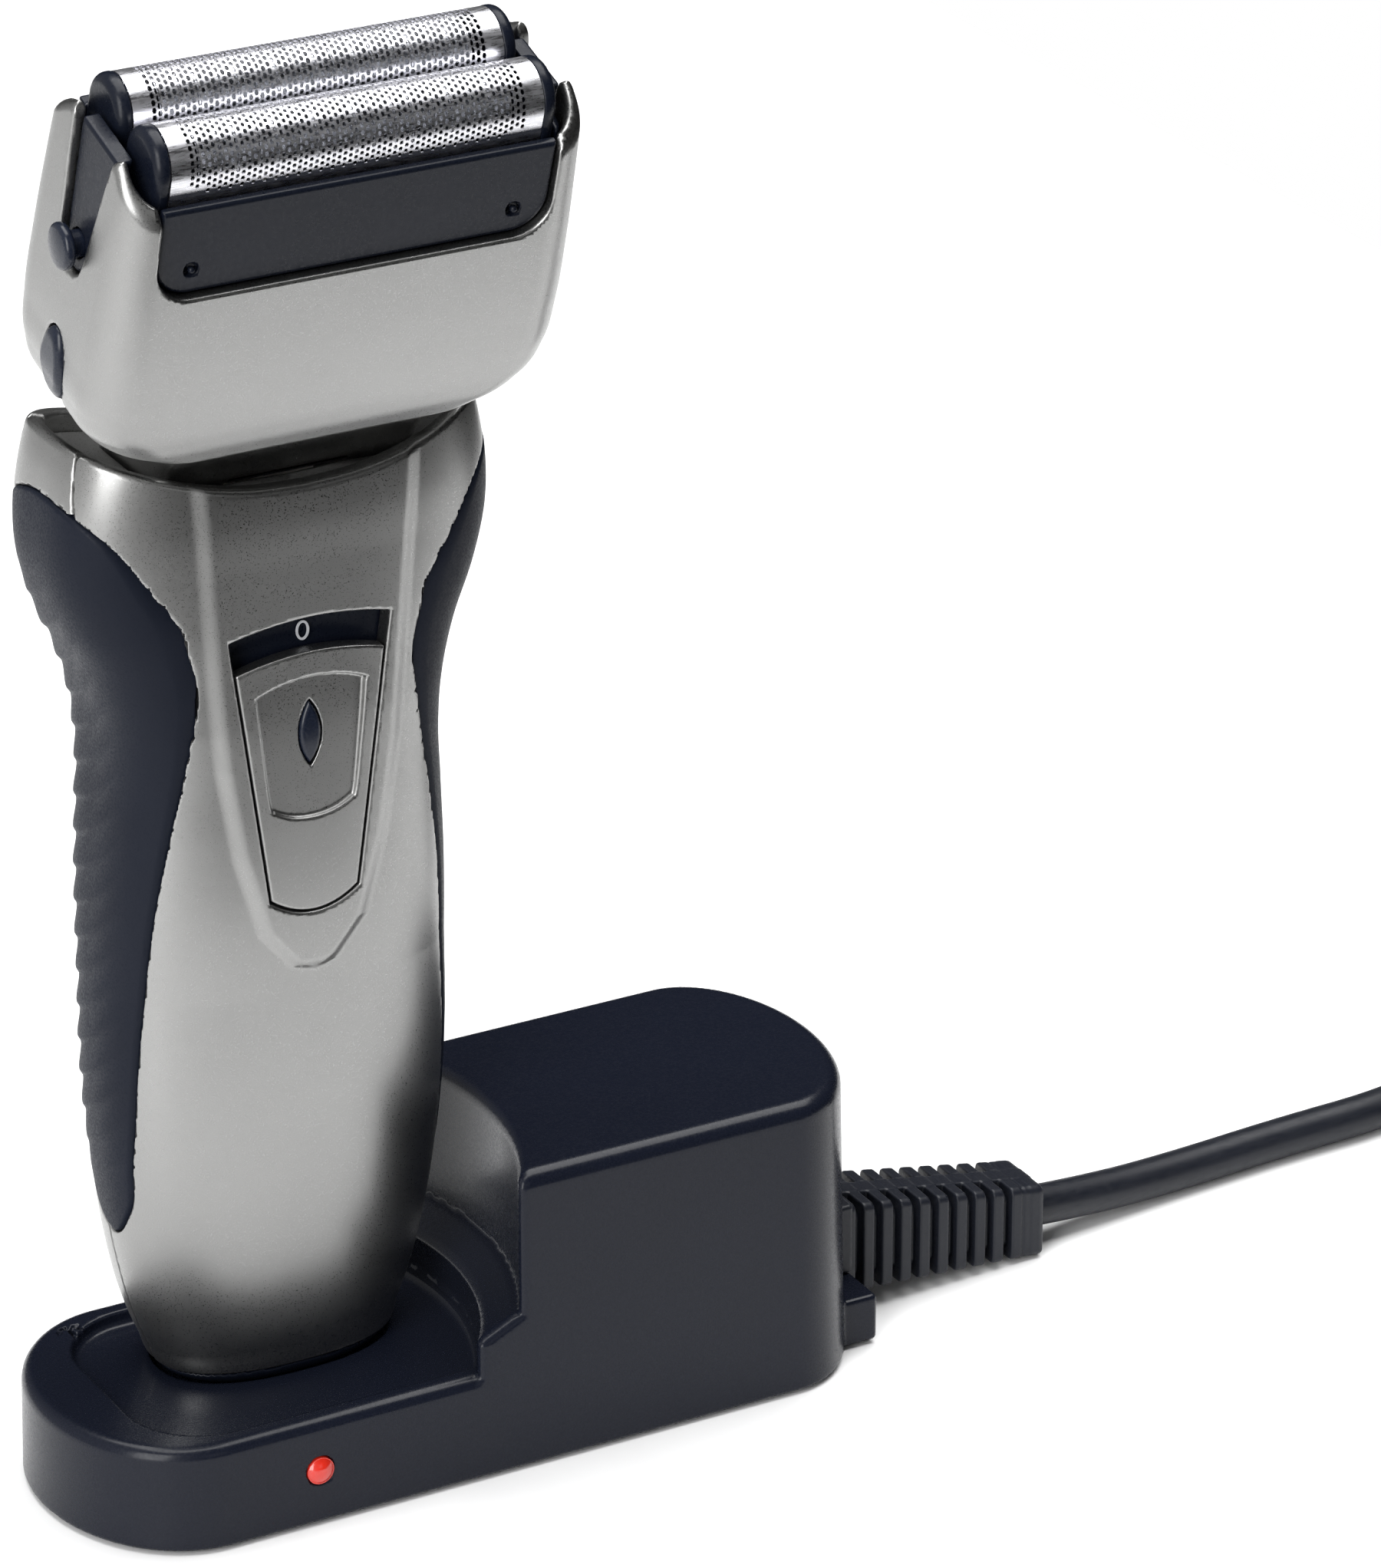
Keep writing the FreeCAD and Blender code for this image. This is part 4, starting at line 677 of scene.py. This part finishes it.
def trimmer_arm(p):
    """The folding arm: three thumb grooves above, a round heel with the pin's bore below."""
    block = box_field(p, (HANDLE_X - ARM_HALF, ARM_Y, ARM_LOW), (HANDLE_X + ARM_HALF, FAR, ARM_HIGH), 0.8)
    body = both(handle_field(p, -0.15), block, 0.5)
    for height in (100.5, 102.5, 104.5):
        groove = np.hypot(p[:, 1] - 17.35, p[:, 2] - height) - 0.5
        body = less(body, np.maximum(groove, side_of(p) - 5.5), 0.2)
    heel = np.hypot(p[:, 1] - TRIMMER_PIN_Y, p[:, 2] - TRIMMER_PIN_Z)
    body = both(body, np.minimum(heel - 1.9, TRIMMER_PIN_Z - p[:, 2]), 0.2)
    return less(body, heel - 0.8, 0.1)


form("FrontPanel", front_panel, "front_panel", 0.31, "handle", "silver_paint", "silver")
form("RearPanel", rear_panel, "rear_panel", 0.40, "handle", "silver_paint", "silver")
form("FootCap", foot_cap, "foot_cap", 0.42, "handle", "button_plastic", "dark")
form("LeftGrip", grip(-1), "left_grip", 0.31, "handle", "grip_rubber", "grip")
form("RightGrip", grip(1), "right_grip", 0.31, "handle", "grip_rubber", "grip")
form("LeftShoulder", shoulder(-1), "left_shoulder", 0.42, "handle", "silver_paint", "silver")
form("RightShoulder", shoulder(1), "right_shoulder", 0.42, "handle", "silver_paint", "silver")
form("Collar", collar, "collar", 0.38, "handle", "silver_paint", "silver")
form("Neck", neck, "neck", 0.38, "handle", "silver_paint", "silver")
form("SwitchPlate", switch_plate, "switch_plate", 0.22, "switch", "silver_paint", "silver")
form("SwitchLock", switch_lock, "switch_lock", 0.16, "switch_lock", "button_plastic", "button")
form("TrimmerArm", trimmer_arm, "trimmer_arm", 0.32, "trimmer", "dark_plastic", "dark")


def mark_zero():
    """The zero at the switch's stop: a thin printed oval ring on the tray behind the opening."""
    front, back, height, count = -8.14, -8.02, 101.8, 40
    points, faces = [], []
    for half_x, half_z in ((0.78, 1.12), (0.52, 0.86)):
        for depth in (front, back):
            for step in range(count):
                turn = 2 * math.pi * step / count
                points.append((HANDLE_X + half_x * math.cos(turn), depth, height + half_z * math.sin(turn)))
    outer_front, outer_back, inner_front, inner_back = 0, count, 2 * count, 3 * count
    for step in range(count):
        after = (step + 1) % count
        for first, second in ((outer_back, outer_front), (outer_front, inner_front),
                              (inner_front, inner_back), (inner_back, outer_back)):
            faces.append((first + step, first + after, second + after, second + step))
    item = add_mesh("StopMark", points, faces, smooth=False)
    item.data.materials.append(M["print"])
    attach(item, "handle")


mark_zero()

# ---------------------------------------------------------------- head

# In the head's frame: height, half width, front, back and corner radius of the foil frame's sections
FRAME_SECTIONS = [
    (-41.4, 12.0, -8.0, 8.6, 6.0), (-40.7, 17.4, -8.9, 9.7, 6.0), (-39.0, 22.4, -9.8, 10.8, 6.0),
    (-36.5, 25.5, -10.4, 11.6, 6.0), (-33.0, 26.8, -10.8, 12.0, 5.8), (-28, 27.0, -11.0, 12.2, 5.4),
    (-20, 26.8, -11.0, 12.0, 5.0), (-12, 26.4, -10.8, 11.7, 4.6), (-6, 26.0, -10.6, 11.4, 4.2),
    (-2.4, 25.7, -10.4, 11.2, 4.0),
]
frame_at = smooth_table(FRAME_SECTIONS)
notch_edge = flat_field(np.array([(-5.2, 2), (5.2, 2), (2.7, -16.8), (2.2, -18.4), (1.2, -19.2), (0, -19.4),
                                  (-1.2, -19.2), (-2.2, -18.4), (-2.7, -16.8)], float), 12)
FOIL_OFFSET, FOIL_RADIUS, FOIL_HALF, FOIL_FOOT = 4.56, 3.7, 20.9, -9.0
CAP_RADIUS, CAP_OUTER = 3.92, 22.6
BUTTON_Y, BUTTON_Z, KNOB_Z, KNOB_RADIUS = 0.3, -31.6, -16.2, 2.5


def frame_field(q, shrink=0.0):
    half, front, back, corner = frame_at(q[:, 2])
    return round_rect(q[:, 0], q[:, 1], half - shrink, front + shrink, back - shrink, corner - 0.6 * shrink)


def window(q, grow=0.0):
    return round_rect(q[:, 0], q[:, 2], 22.3 + grow, -17.0 - grow, 40, 4.2 + grow)


def foil_frame(q):
    """The silver head frame: a shell open below and above, two windows, side notches and button holes."""
    y, z = q[:, 1], q[:, 2]
    body = both(frame_field(q) * 0.92, -41.4 - z, 1.6)
    inner = both(frame_field(q, 1.5), -39.2 - z, 1.0)
    body = less(body, inner, 0.35)
    body = less(body, both(round_rect(q[:, 0], y, 16.2, -7.3, 7.3, 4.5), z + 35, 0.1), 0.3)
    body = less(body, np.maximum(window(q), y + 6), 0.3)
    body = less(body, np.maximum(window(q), 6 - y), 0.3)
    body = less(body, notch_edge(y, z), 0.35)
    peak = np.interp(y, [-14, -5.4, 5.4, 15], [-9.5, -2.2, -2.2, -9.5])
    body = both(body, (z - peak) * 0.78, 1.1)
    return less(body, np.hypot((y - BUTTON_Y) / 2.5, (z - BUTTON_Z) / 4.75) * 2.6 - 2.6, 0.25)


def release_button(sign):
    def field(q):
        oval = (np.hypot((q[:, 1] - BUTTON_Y) / 2.35, (q[:, 2] - BUTTON_Z) / 4.6) - 1) * 2.6
        body = both(oval, frame_field(q, -0.55), 0.9)
        return both(body, 23.4 - sign * q[:, 0], 0.1)
    return field


def arch(q, sign, radius):
    """Distance to the arch shape of a foil, without its ends."""
    across = q[:, 1] - sign * FOIL_OFFSET
    return np.where(q[:, 2] > -FOIL_RADIUS, np.hypot(across, q[:, 2] + FOIL_RADIUS), np.abs(across)) - radius


def foil_caps(sign):
    def field(q):
        round_part = arch(q, sign, CAP_RADIUS)
        body = both(round_part, np.abs(np.abs(q[:, 0]) - 21.75) - 0.85, 0.35)
        outer = both(round_part, np.abs(q[:, 0]) - CAP_OUTER, 1.1)
        return both(np.maximum(body, outer), -10.2 - q[:, 2], 0.2)
    return field


def cassette(q):
    """The block that holds the foils: front and rear window plates, cheeks, pockets and dimples."""
    x, y, z = q.T
    body = both(round_rect(x, y, 24.05, -8.8, 9.5, 2.9), np.maximum(z + 6.1, -24 - z), 0.5)
    front = both(np.maximum(window(q, -0.18), z + 6.1), np.maximum(-10.0 - y, y + 8.2), 0.45)
    rear = both(np.maximum(window(q, -0.18), z + 6.1), np.maximum(8.6 - y, y - 10.8), 0.45)
    body = either(either(body, front, 0.15), rear, 0.15)
    cheek = both(notch_edge(y, z) + 0.2, np.abs(x) - 26.3 + 0.082 * (z + 20.5), 0.4)
    cheek = both(cheek, np.maximum(23.0 - np.abs(x), np.maximum(z + 3.4, -20.5 - z)), 0.4)
    body = either(body, cheek, 0.3)
    body = less(body, box_field(q, (-21.8, -8.0, -40), (21.8, 8.0, -11.4), 0.3), 0.2)
    for sign in (-1, 1):
        middle = sign * FOIL_OFFSET
        body = less(body, box_field(q, (-22.9, middle - 4.3, -13.4), (22.9, middle + 4.3, 9), 0.3), 0.35)
        for face in (-10.0, 10.8):
            dimple = np.sqrt((x - sign * 18.2) ** 2 + (y - face) ** 2 + (z + 13.8) ** 2)
            body = either(less(body, dimple - 0.85, 0.12), dimple - 0.42, 0.08)
    return less(body, np.hypot(y, z - KNOB_Z) - 1.6, 0.1)


def release_knob(sign):
    def field(q):
        x = sign * q[:, 0]
        from_axis = np.hypot(q[:, 1], q[:, 2] - KNOB_Z)
        head = both(from_axis - KNOB_RADIUS, np.maximum(27.1 - x, x - 28.5 + 0.05 * from_axis**2), 0.45)
        stem = both(from_axis - 1.45, np.maximum(23.0 - x, x - 27.4), 0.1)
        return either(head, stem, 0.2)
    return field


FOIL_COLUMNS, PITCH_X, PITCH_S, PLAIN_END, PLAIN_ROWS = 60, 0.63, 0.37, 1.05, 9
FOIL_STRAIGHT = -FOIL_RADIUS - FOIL_FOOT
HOLE_CORNERS = ((-0.62, -1), (0.62, -1), (1, 0), (0.62, 1), (-0.62, 1), (-1, 0))


def arc_spot(sign, along, radius):
    """A point of the foil's cross-section: along runs from the front foot over the top to the back."""
    half_round = math.pi * radius
    if along < FOIL_STRAIGHT:
        y, z = -radius, FOIL_FOOT + along
    elif along > FOIL_STRAIGHT + half_round:
        y, z = radius, -radius - (along - FOIL_STRAIGHT - half_round)
    else:
        turn = math.pi - (along - FOIL_STRAIGHT) / radius
        y, z = radius * math.cos(turn), -radius + radius * math.sin(turn)
    return sign * FOIL_OFFSET + y, z


def foil_sheet(name, sign, hole_x, hole_s):
    """A thin arched steel sheet with staggered six-sided holes between plain borders."""
    length = 2 * FOIL_STRAIGHT + math.pi * FOIL_RADIUS
    rows = int(round(length / PITCH_S))
    rows += rows % 2
    step_s = length / rows
    holed = [PITCH_X * (i - FOIL_COLUMNS / 2) for i in range(FOIL_COLUMNS + 1)]
    columns = [-FOIL_HALF, -FOIL_HALF + PLAIN_END] + holed + [FOIL_HALF - PLAIN_END, FOIL_HALF]
    index, points, faces = {}, [], []

    def spot(x, s):
        key = (round(x, 5), round(s, 5))
        if key not in index:
            index[key] = len(points)
            points.append((x, *arc_spot(sign, s, FOIL_RADIUS)))
        return index[key]

    for i, (left, right) in enumerate(zip(columns, columns[1:])):
        middle = (left + right) / 2
        lowest = PLAIN_ROWS + (2 if abs(middle) / FOIL_HALF > 0.82 else 0)
        k = 0
        while k < rows:
            s0, s1, s2 = k * step_s, (k + 1) * step_s, (k + 2) * step_s
            among = 2 <= i < 2 + FOIL_COLUMNS and lowest <= k and k + 2 <= rows - PLAIN_ROWS
            if among and (i + k) % 2 == 0:
                ring = [spot(left, s0), spot(right, s0), spot(right, s1), spot(right, s2), spot(left, s2),
                        spot(left, s1)]
                hole = [spot(middle + a * hole_x, s1 + b * hole_s) for a, b in HOLE_CORNERS]
                for a in range(6):
                    b = (a + 1) % 6
                    faces.append((ring[a], ring[b], hole[b], hole[a]))
                k += 2
            else:
                faces.append((spot(left, s0), spot(right, s0), spot(right, s1), spot(left, s1)))
                k += 1
    item = add_mesh(name, HEAD.out(np.array(points)), [face[::-1] for face in faces])
    thick = item.modifiers.new("Thickness", "SOLIDIFY")
    thick.thickness, thick.offset = 0.00016, -1
    thick.use_even_offset = True
    edges = item.modifiers.new("Edges", "EDGE_SPLIT")
    edges.split_angle = math.radians(45)
    return item


HEAD_SIZE = 0.34
form("FoilFrame", foil_frame, "foil_frame", 0.38, "foil_frame", "silver_paint", "silver", placed=HEAD)
form("Cassette", cassette, "foil_cassette", HEAD_SIZE, "cassette", "dark_plastic", "dark", placed=HEAD)
for sign, row in ((-1, "front"), (1, "rear")):
    sheet = foil_sheet(row.capitalize() + "FoilSheet", sign, 0.225 if sign < 0 else 0.245,
                       0.25 if sign < 0 else 0.29)
    dress(sheet, row + "_foil", "foil_steel", "foil", row + "_foil")
    form(row.capitalize() + "FoilCaps", foil_caps(sign), row + "_foil_caps", 0.26, row + "_foil",
         "dark_plastic", "dark", placed=HEAD)
for sign, side in ((-1, "left"), (1, "right")):
    form(side.capitalize() + "FrameButton", release_button(sign), "frame_button_" + side, 0.26,
         "frame_button_" + side, "button_plastic", "button", placed=HEAD)
    form(side.capitalize() + "FoilButton", release_knob(sign), "foil_button_" + side, 0.22,
         "foil_button_" + side, "button_plastic", "button", placed=HEAD)

# ---------------------------------------------------------------- stand

WELL_X, WELL_Y, WELL_FLOOR = -31.2, 2.4, 9.3
STAND_HEIGHT, STAND_HALF, STAND_DRAFT = 36.1, 18.3, 0.7
LEFT_CENTRE, LEFT_END, RIGHT_CENTRE, RIGHT_END = -34.4, 14.6, 36.8, 12.2
DISH_FLOOR, LAMP_X, LAMP_Z = 11.2, -23.6, 6.7
MARK_X, MARK_Y = -38.6, 13.2


def stand_plan(p, inset=0.0):
    """The stand's outline from above: straight sides between two elliptic ends, with a draft."""
    draft = STAND_DRAFT * np.clip(p[:, 2], 0, STAND_HEIGHT) / STAND_HEIGHT + inset
    half = STAND_HALF - draft
    left, right = LEFT_END - draft, RIGHT_END - draft
    u = np.maximum(np.maximum((LEFT_CENTRE - p[:, 0]) / left, (p[:, 0] - RIGHT_CENTRE) / right), 0)
    v = np.abs(p[:, 1]) / half
    reach = np.maximum(np.hypot(u, v), 1e-4)
    end = np.where(p[:, 0] < 0, left, right)
    return (reach - 1) / np.maximum(np.hypot(u / reach / end, v / reach / half), 1e-4)


def stand_shell(p):
    """The stand: a block hollowed round the handle, a dished deck, a foot well and an open underside."""
    x, y, z = p.T
    from_well = np.hypot(x - WELL_X, y - WELL_Y)
    body = both(both(stand_plan(p), z - STAND_HEIGHT, 1.9), 0.4 - z, 0.5)
    hollow = both(from_well - 37.9, 19.4 - z, 0.1)
    slope = both(np.maximum((from_well - 33.6 - (z - 17) * 1.79) * 0.49, from_well - 37.9), 17 - z, 0.1)
    ledge = both(from_well - 33.6, 12.8 - z, 0.1)
    dished = both(round_rect(y, x, 15.2, -41, 30, 9.0), both(from_well - 33.4, DISH_FLOOR - z, 0.9), 0.9)
    room = either(either(either(hollow, slope, 0.5), ledge, 0.8), dished, 0.5)
    body = less(body, room, 1.5)
    foot = p.copy()
    foot[:, 2] = DISH_FLOOR
    body = less(body, both(handle_field(foot, 0.5), WELL_FLOOR - z, 0.3), 0.35)
    low = both(stand_plan(p, 2.0), np.maximum(z - 7.3, -2 - z), 0.2)
    high = both(both(stand_plan(p, 2.0), np.maximum(z - 34.1, -2 - z), 0.5), 40.0 - from_well, 0.5)
    body = less(body, np.minimum(low, high), 0.2)
    body = less(body, np.maximum(np.hypot(x - LAMP_X, z - LAMP_Z) - 1.68, y + 12), 0.15)
    bracket = box_field(p, (44, -12, 0.4), (50.4, 12, 6.2), 0.5)
    bracket = less(bracket, stand_plan(p, 0.8), 0.1)
    arch_mark = np.maximum(np.abs(np.hypot(x - MARK_X, y - MARK_Y) - 1.5) - 0.22, MARK_Y + 0.2 - y)
    bar_mark = np.maximum(np.abs(x - MARK_X) - 0.22, np.abs(y - MARK_Y + 0.3) - 1.2)
    mark = np.maximum(np.minimum(arch_mark, bar_mark), 12.45 - z)
    return less(either(body, bracket, 0.3), mark, 0.12)


BOOT_START, BOOT_LENGTH, BOOT_RIBS = 49.4, 28.5, 11


def strain_relief(p):
    """A tapered boot whose flat ribs join along a spine on its top and underside."""
    x = p[:, 0]
    boot_end = BOOT_START + BOOT_LENGTH
    t = np.clip((x - BOOT_START) / BOOT_LENGTH, 0, 1)
    y = p[:, 1] - 0.7 * t
    z = p[:, 2] - (8.7 - 4.05 * t)
    ends = np.maximum(48.6 - x, x - boot_end)
    core = both(round_rect(y, z, 3.7 - 0.9 * t, -4.1 + 1.0 * t, 4.1 - 1.0 * t, 0.8), ends, 0.3)
    outer = round_rect(y, z, 5.2 - 1.0 * t, -5.8 + 1.3 * t, 5.8 - 1.3 * t, 0.9)
    pitch = BOOT_LENGTH / BOOT_RIBS
    place = (x - BOOT_START) / pitch - 0.55
    rib = both(both(outer, np.abs(place - np.round(place)) * pitch - 0.78, 0.3), ends, 0.3)
    last = both(outer, np.maximum(boot_end - 3 - x, x - boot_end), 0.4)
    spine = both(both(outer, np.abs(y) - 1.35, 0.3), ends, 0.3)
    flange = box_field(p, (48.5, -6.2, 6.3), (50.6, 6.2, 15.0), 0.5)
    body = either(either(core, rib, 0.25), either(spine, last, 0.2), 0.2)
    return either(body, flange, 0.4)


PLUG_START, PLUG_LENGTH, PLUG_Y, PLUG_Z = 270.0, 36, 7.3, 6.85
PLUG_HALF, GRIP_GROOVES, GROOVE_PITCH = 13.0, 5, 2.2
plug_at = smooth_table([(0, 4.5, 4.5), (9, 7.0, 5.5), (16, 12.2, 6.6), (20, 12.9, 6.75), (24, 12.95, 6.75),
                        (36, 12.95, 6.75)])


def plug_body(p):
    """A flat plug that widens from the cord, with finger grooves on its narrow sides."""
    along, across = p[:, 0] - PLUG_START, p[:, 1] - PLUG_Y
    half, thick = plug_at(along)
    body = round_rect(across, p[:, 2] - PLUG_Z, half, -thick, thick, 3.2) * 0.9
    body = both(body, np.maximum(-along, along - PLUG_LENGTH), 0.8)
    for k in range(GRIP_GROOVES):
        past_groove = along - 22.0 - GROOVE_PITCH * k
        groove = np.hypot(past_groove, np.maximum(PLUG_HALF - np.abs(across), 0)) - 0.55
        body = less(body, groove, 0.2)
    return body


form("StandShell", stand_shell, "stand_shell", 0.5, "stand", "stand_plastic", "stand")
form("StrainRelief", strain_relief, "strain_relief", 0.24, "stand", "relief_rubber", "relief")
plug_piece = form("MainsPlug", plug_body, "mains_plug", 0.4, "stand", "plug_plastic", "plug")



def cord_tie(middle_x, half_width, thick):
    """A flat band round the front run of the hank, with round corners."""
    low_y, high_y, low_z, high_z, corner, corner_steps = -24.1, -13.1, 0.06, 20.2, 2.2, 9
    profile = ((-half_width, corner), (half_width, corner), (half_width, corner - thick),
               (-half_width, corner - thick))
    points, faces = [], []
    count = 4 * corner_steps
    for step in range(count):
        quarter, part = divmod(step, corner_steps)
        turn = math.radians(90 * quarter + 90 * part / (corner_steps - 1))
        centre_y = high_y - corner if quarter in (0, 3) else low_y + corner
        centre_z = high_z - corner if quarter < 2 else low_z + corner
        for across, reach in profile:
            points.append((middle_x + across, centre_y + reach * math.cos(turn),
                           centre_z + reach * math.sin(turn)))
        after = (step + 1) % count
        for a in range(4):
            b = (a + 1) % 4
            faces.append((4 * step + a, 4 * step + b, 4 * after + b, 4 * after + a))
    return dress(add_mesh("CordTie", points, faces, smooth=False), "stand", "relief_rubber", "relief")


cord_tie(195, 1.6, 0.25)

# ---------------------------------------------------------------- stage and light


def stage_plane(name, corners, finish):
    item = add_mesh(name, corners, [(0, 1, 2, 3)], smooth=False)
    item.data.materials.append(finish)
    return item


floor_finish = surface("StudioFloor", (0.93, 0.93, 0.93), 0.6, 0, 0, 0.01, 4, 60, 0.0)
stage_plane("Floor", [(-700, -150, -0.05), (300, -150, -0.05), (300, 900, -0.05), (-700, 900, -0.05)],
            floor_finish)


def area_light(name, location, target, size_x, size_y, power, colour=(1, 1, 1)):
    data = bpy.data.lights.new(name, "AREA")
    data.shape = "RECTANGLE"
    data.size, data.size_y = size_x, size_y
    data.energy = power
    data.color = colour
    item = bpy.data.objects.new(name, data)
    item.location = location
    item.rotation_euler = (Vector(target) - Vector(location)).to_track_quat("-Z", "Y").to_euler()
    bpy.context.scene.collection.objects.link(item)
    return item


area_light("KeyLight", (-0.80, -0.55, 0.42), (-0.02, 0, 0.09), 0.5, 0.9, 8.8)
area_light("TopLight", (0.22, 0.10, 1.05), (0.22, 0.1, 0), 1.3, 0.9, 21)
area_light("FrontFill", (0.15, -1.2, 0.5), (0, 0, 0.08), 0.5, 0.5, 0.4)

# The surroundings are white to the camera; to the surfaces they fade from light at the left to dark.
world = bpy.data.worlds.new("Studio")
world.use_nodes = True
bpy.context.scene.world = world
tree = world.node_tree
background = tree.nodes["Background"]
paths = tree.nodes.new("ShaderNodeLightPath")
place = tree.nodes.new("ShaderNodeTexCoord").outputs["Generated"]
parts = tree.nodes.new("ShaderNodeSeparateXYZ")
link(tree, place, parts.inputs[0])
tone = tree.nodes.new("ShaderNodeMapRange")
tone.inputs["From Min"].default_value = 0.12
tone.inputs["From Max"].default_value = -0.7
tone.inputs["To Min"].default_value = 0.01
tone.inputs["To Max"].default_value = 0.6
link(tree, parts.outputs["X"], tone.inputs["Value"])
pick = tree.nodes.new("ShaderNodeMix")
link(tree, paths.outputs["Is Camera Ray"], pick.inputs["Factor"])
link(tree, tone.outputs["Result"], pick.inputs["A"])
pick.inputs["B"].default_value = 1.0
link(tree, pick.outputs["Result"], background.inputs["Strength"])
background.inputs["Color"].default_value = (1, 1, 1, 1)
bpy.context.scene.view_settings.view_transform = "Standard"

# ---------------------------------------------------------------- CAD nodes that stay

FINISH_OF_SLOT = {
    "stand_plastic": "stand", "cover_plastic": "cover", "stand_rubber": "foot", "screw_steel": "steel",
    "lamp_red": "lamp", "board_green": "board", "copper_winding": "copper", "core_steel": "core",
    "relief_rubber": "relief", "cord_vinyl": "cord", "plug_plastic": "plug", "pin_brass": "brass",
    "silver_paint": "silver", "dark_plastic": "dark", "grip_rubber": "grip",
    "chassis_plastic": "chassis", "cell_wrap": "cell", "motor_steel": "steel", "shaft_steel": "steel",
    "drive_plastic": "drive", "foil_steel": "foil", "blade_steel": "blade", "button_plastic": "button",
}
for part in frame["record"]["subparts"]:
    mesh = NODES[part["node"]].data
    mesh.materials.clear()
    mesh.materials.append(M[FINISH_OF_SLOT[part["material_slot"]]])
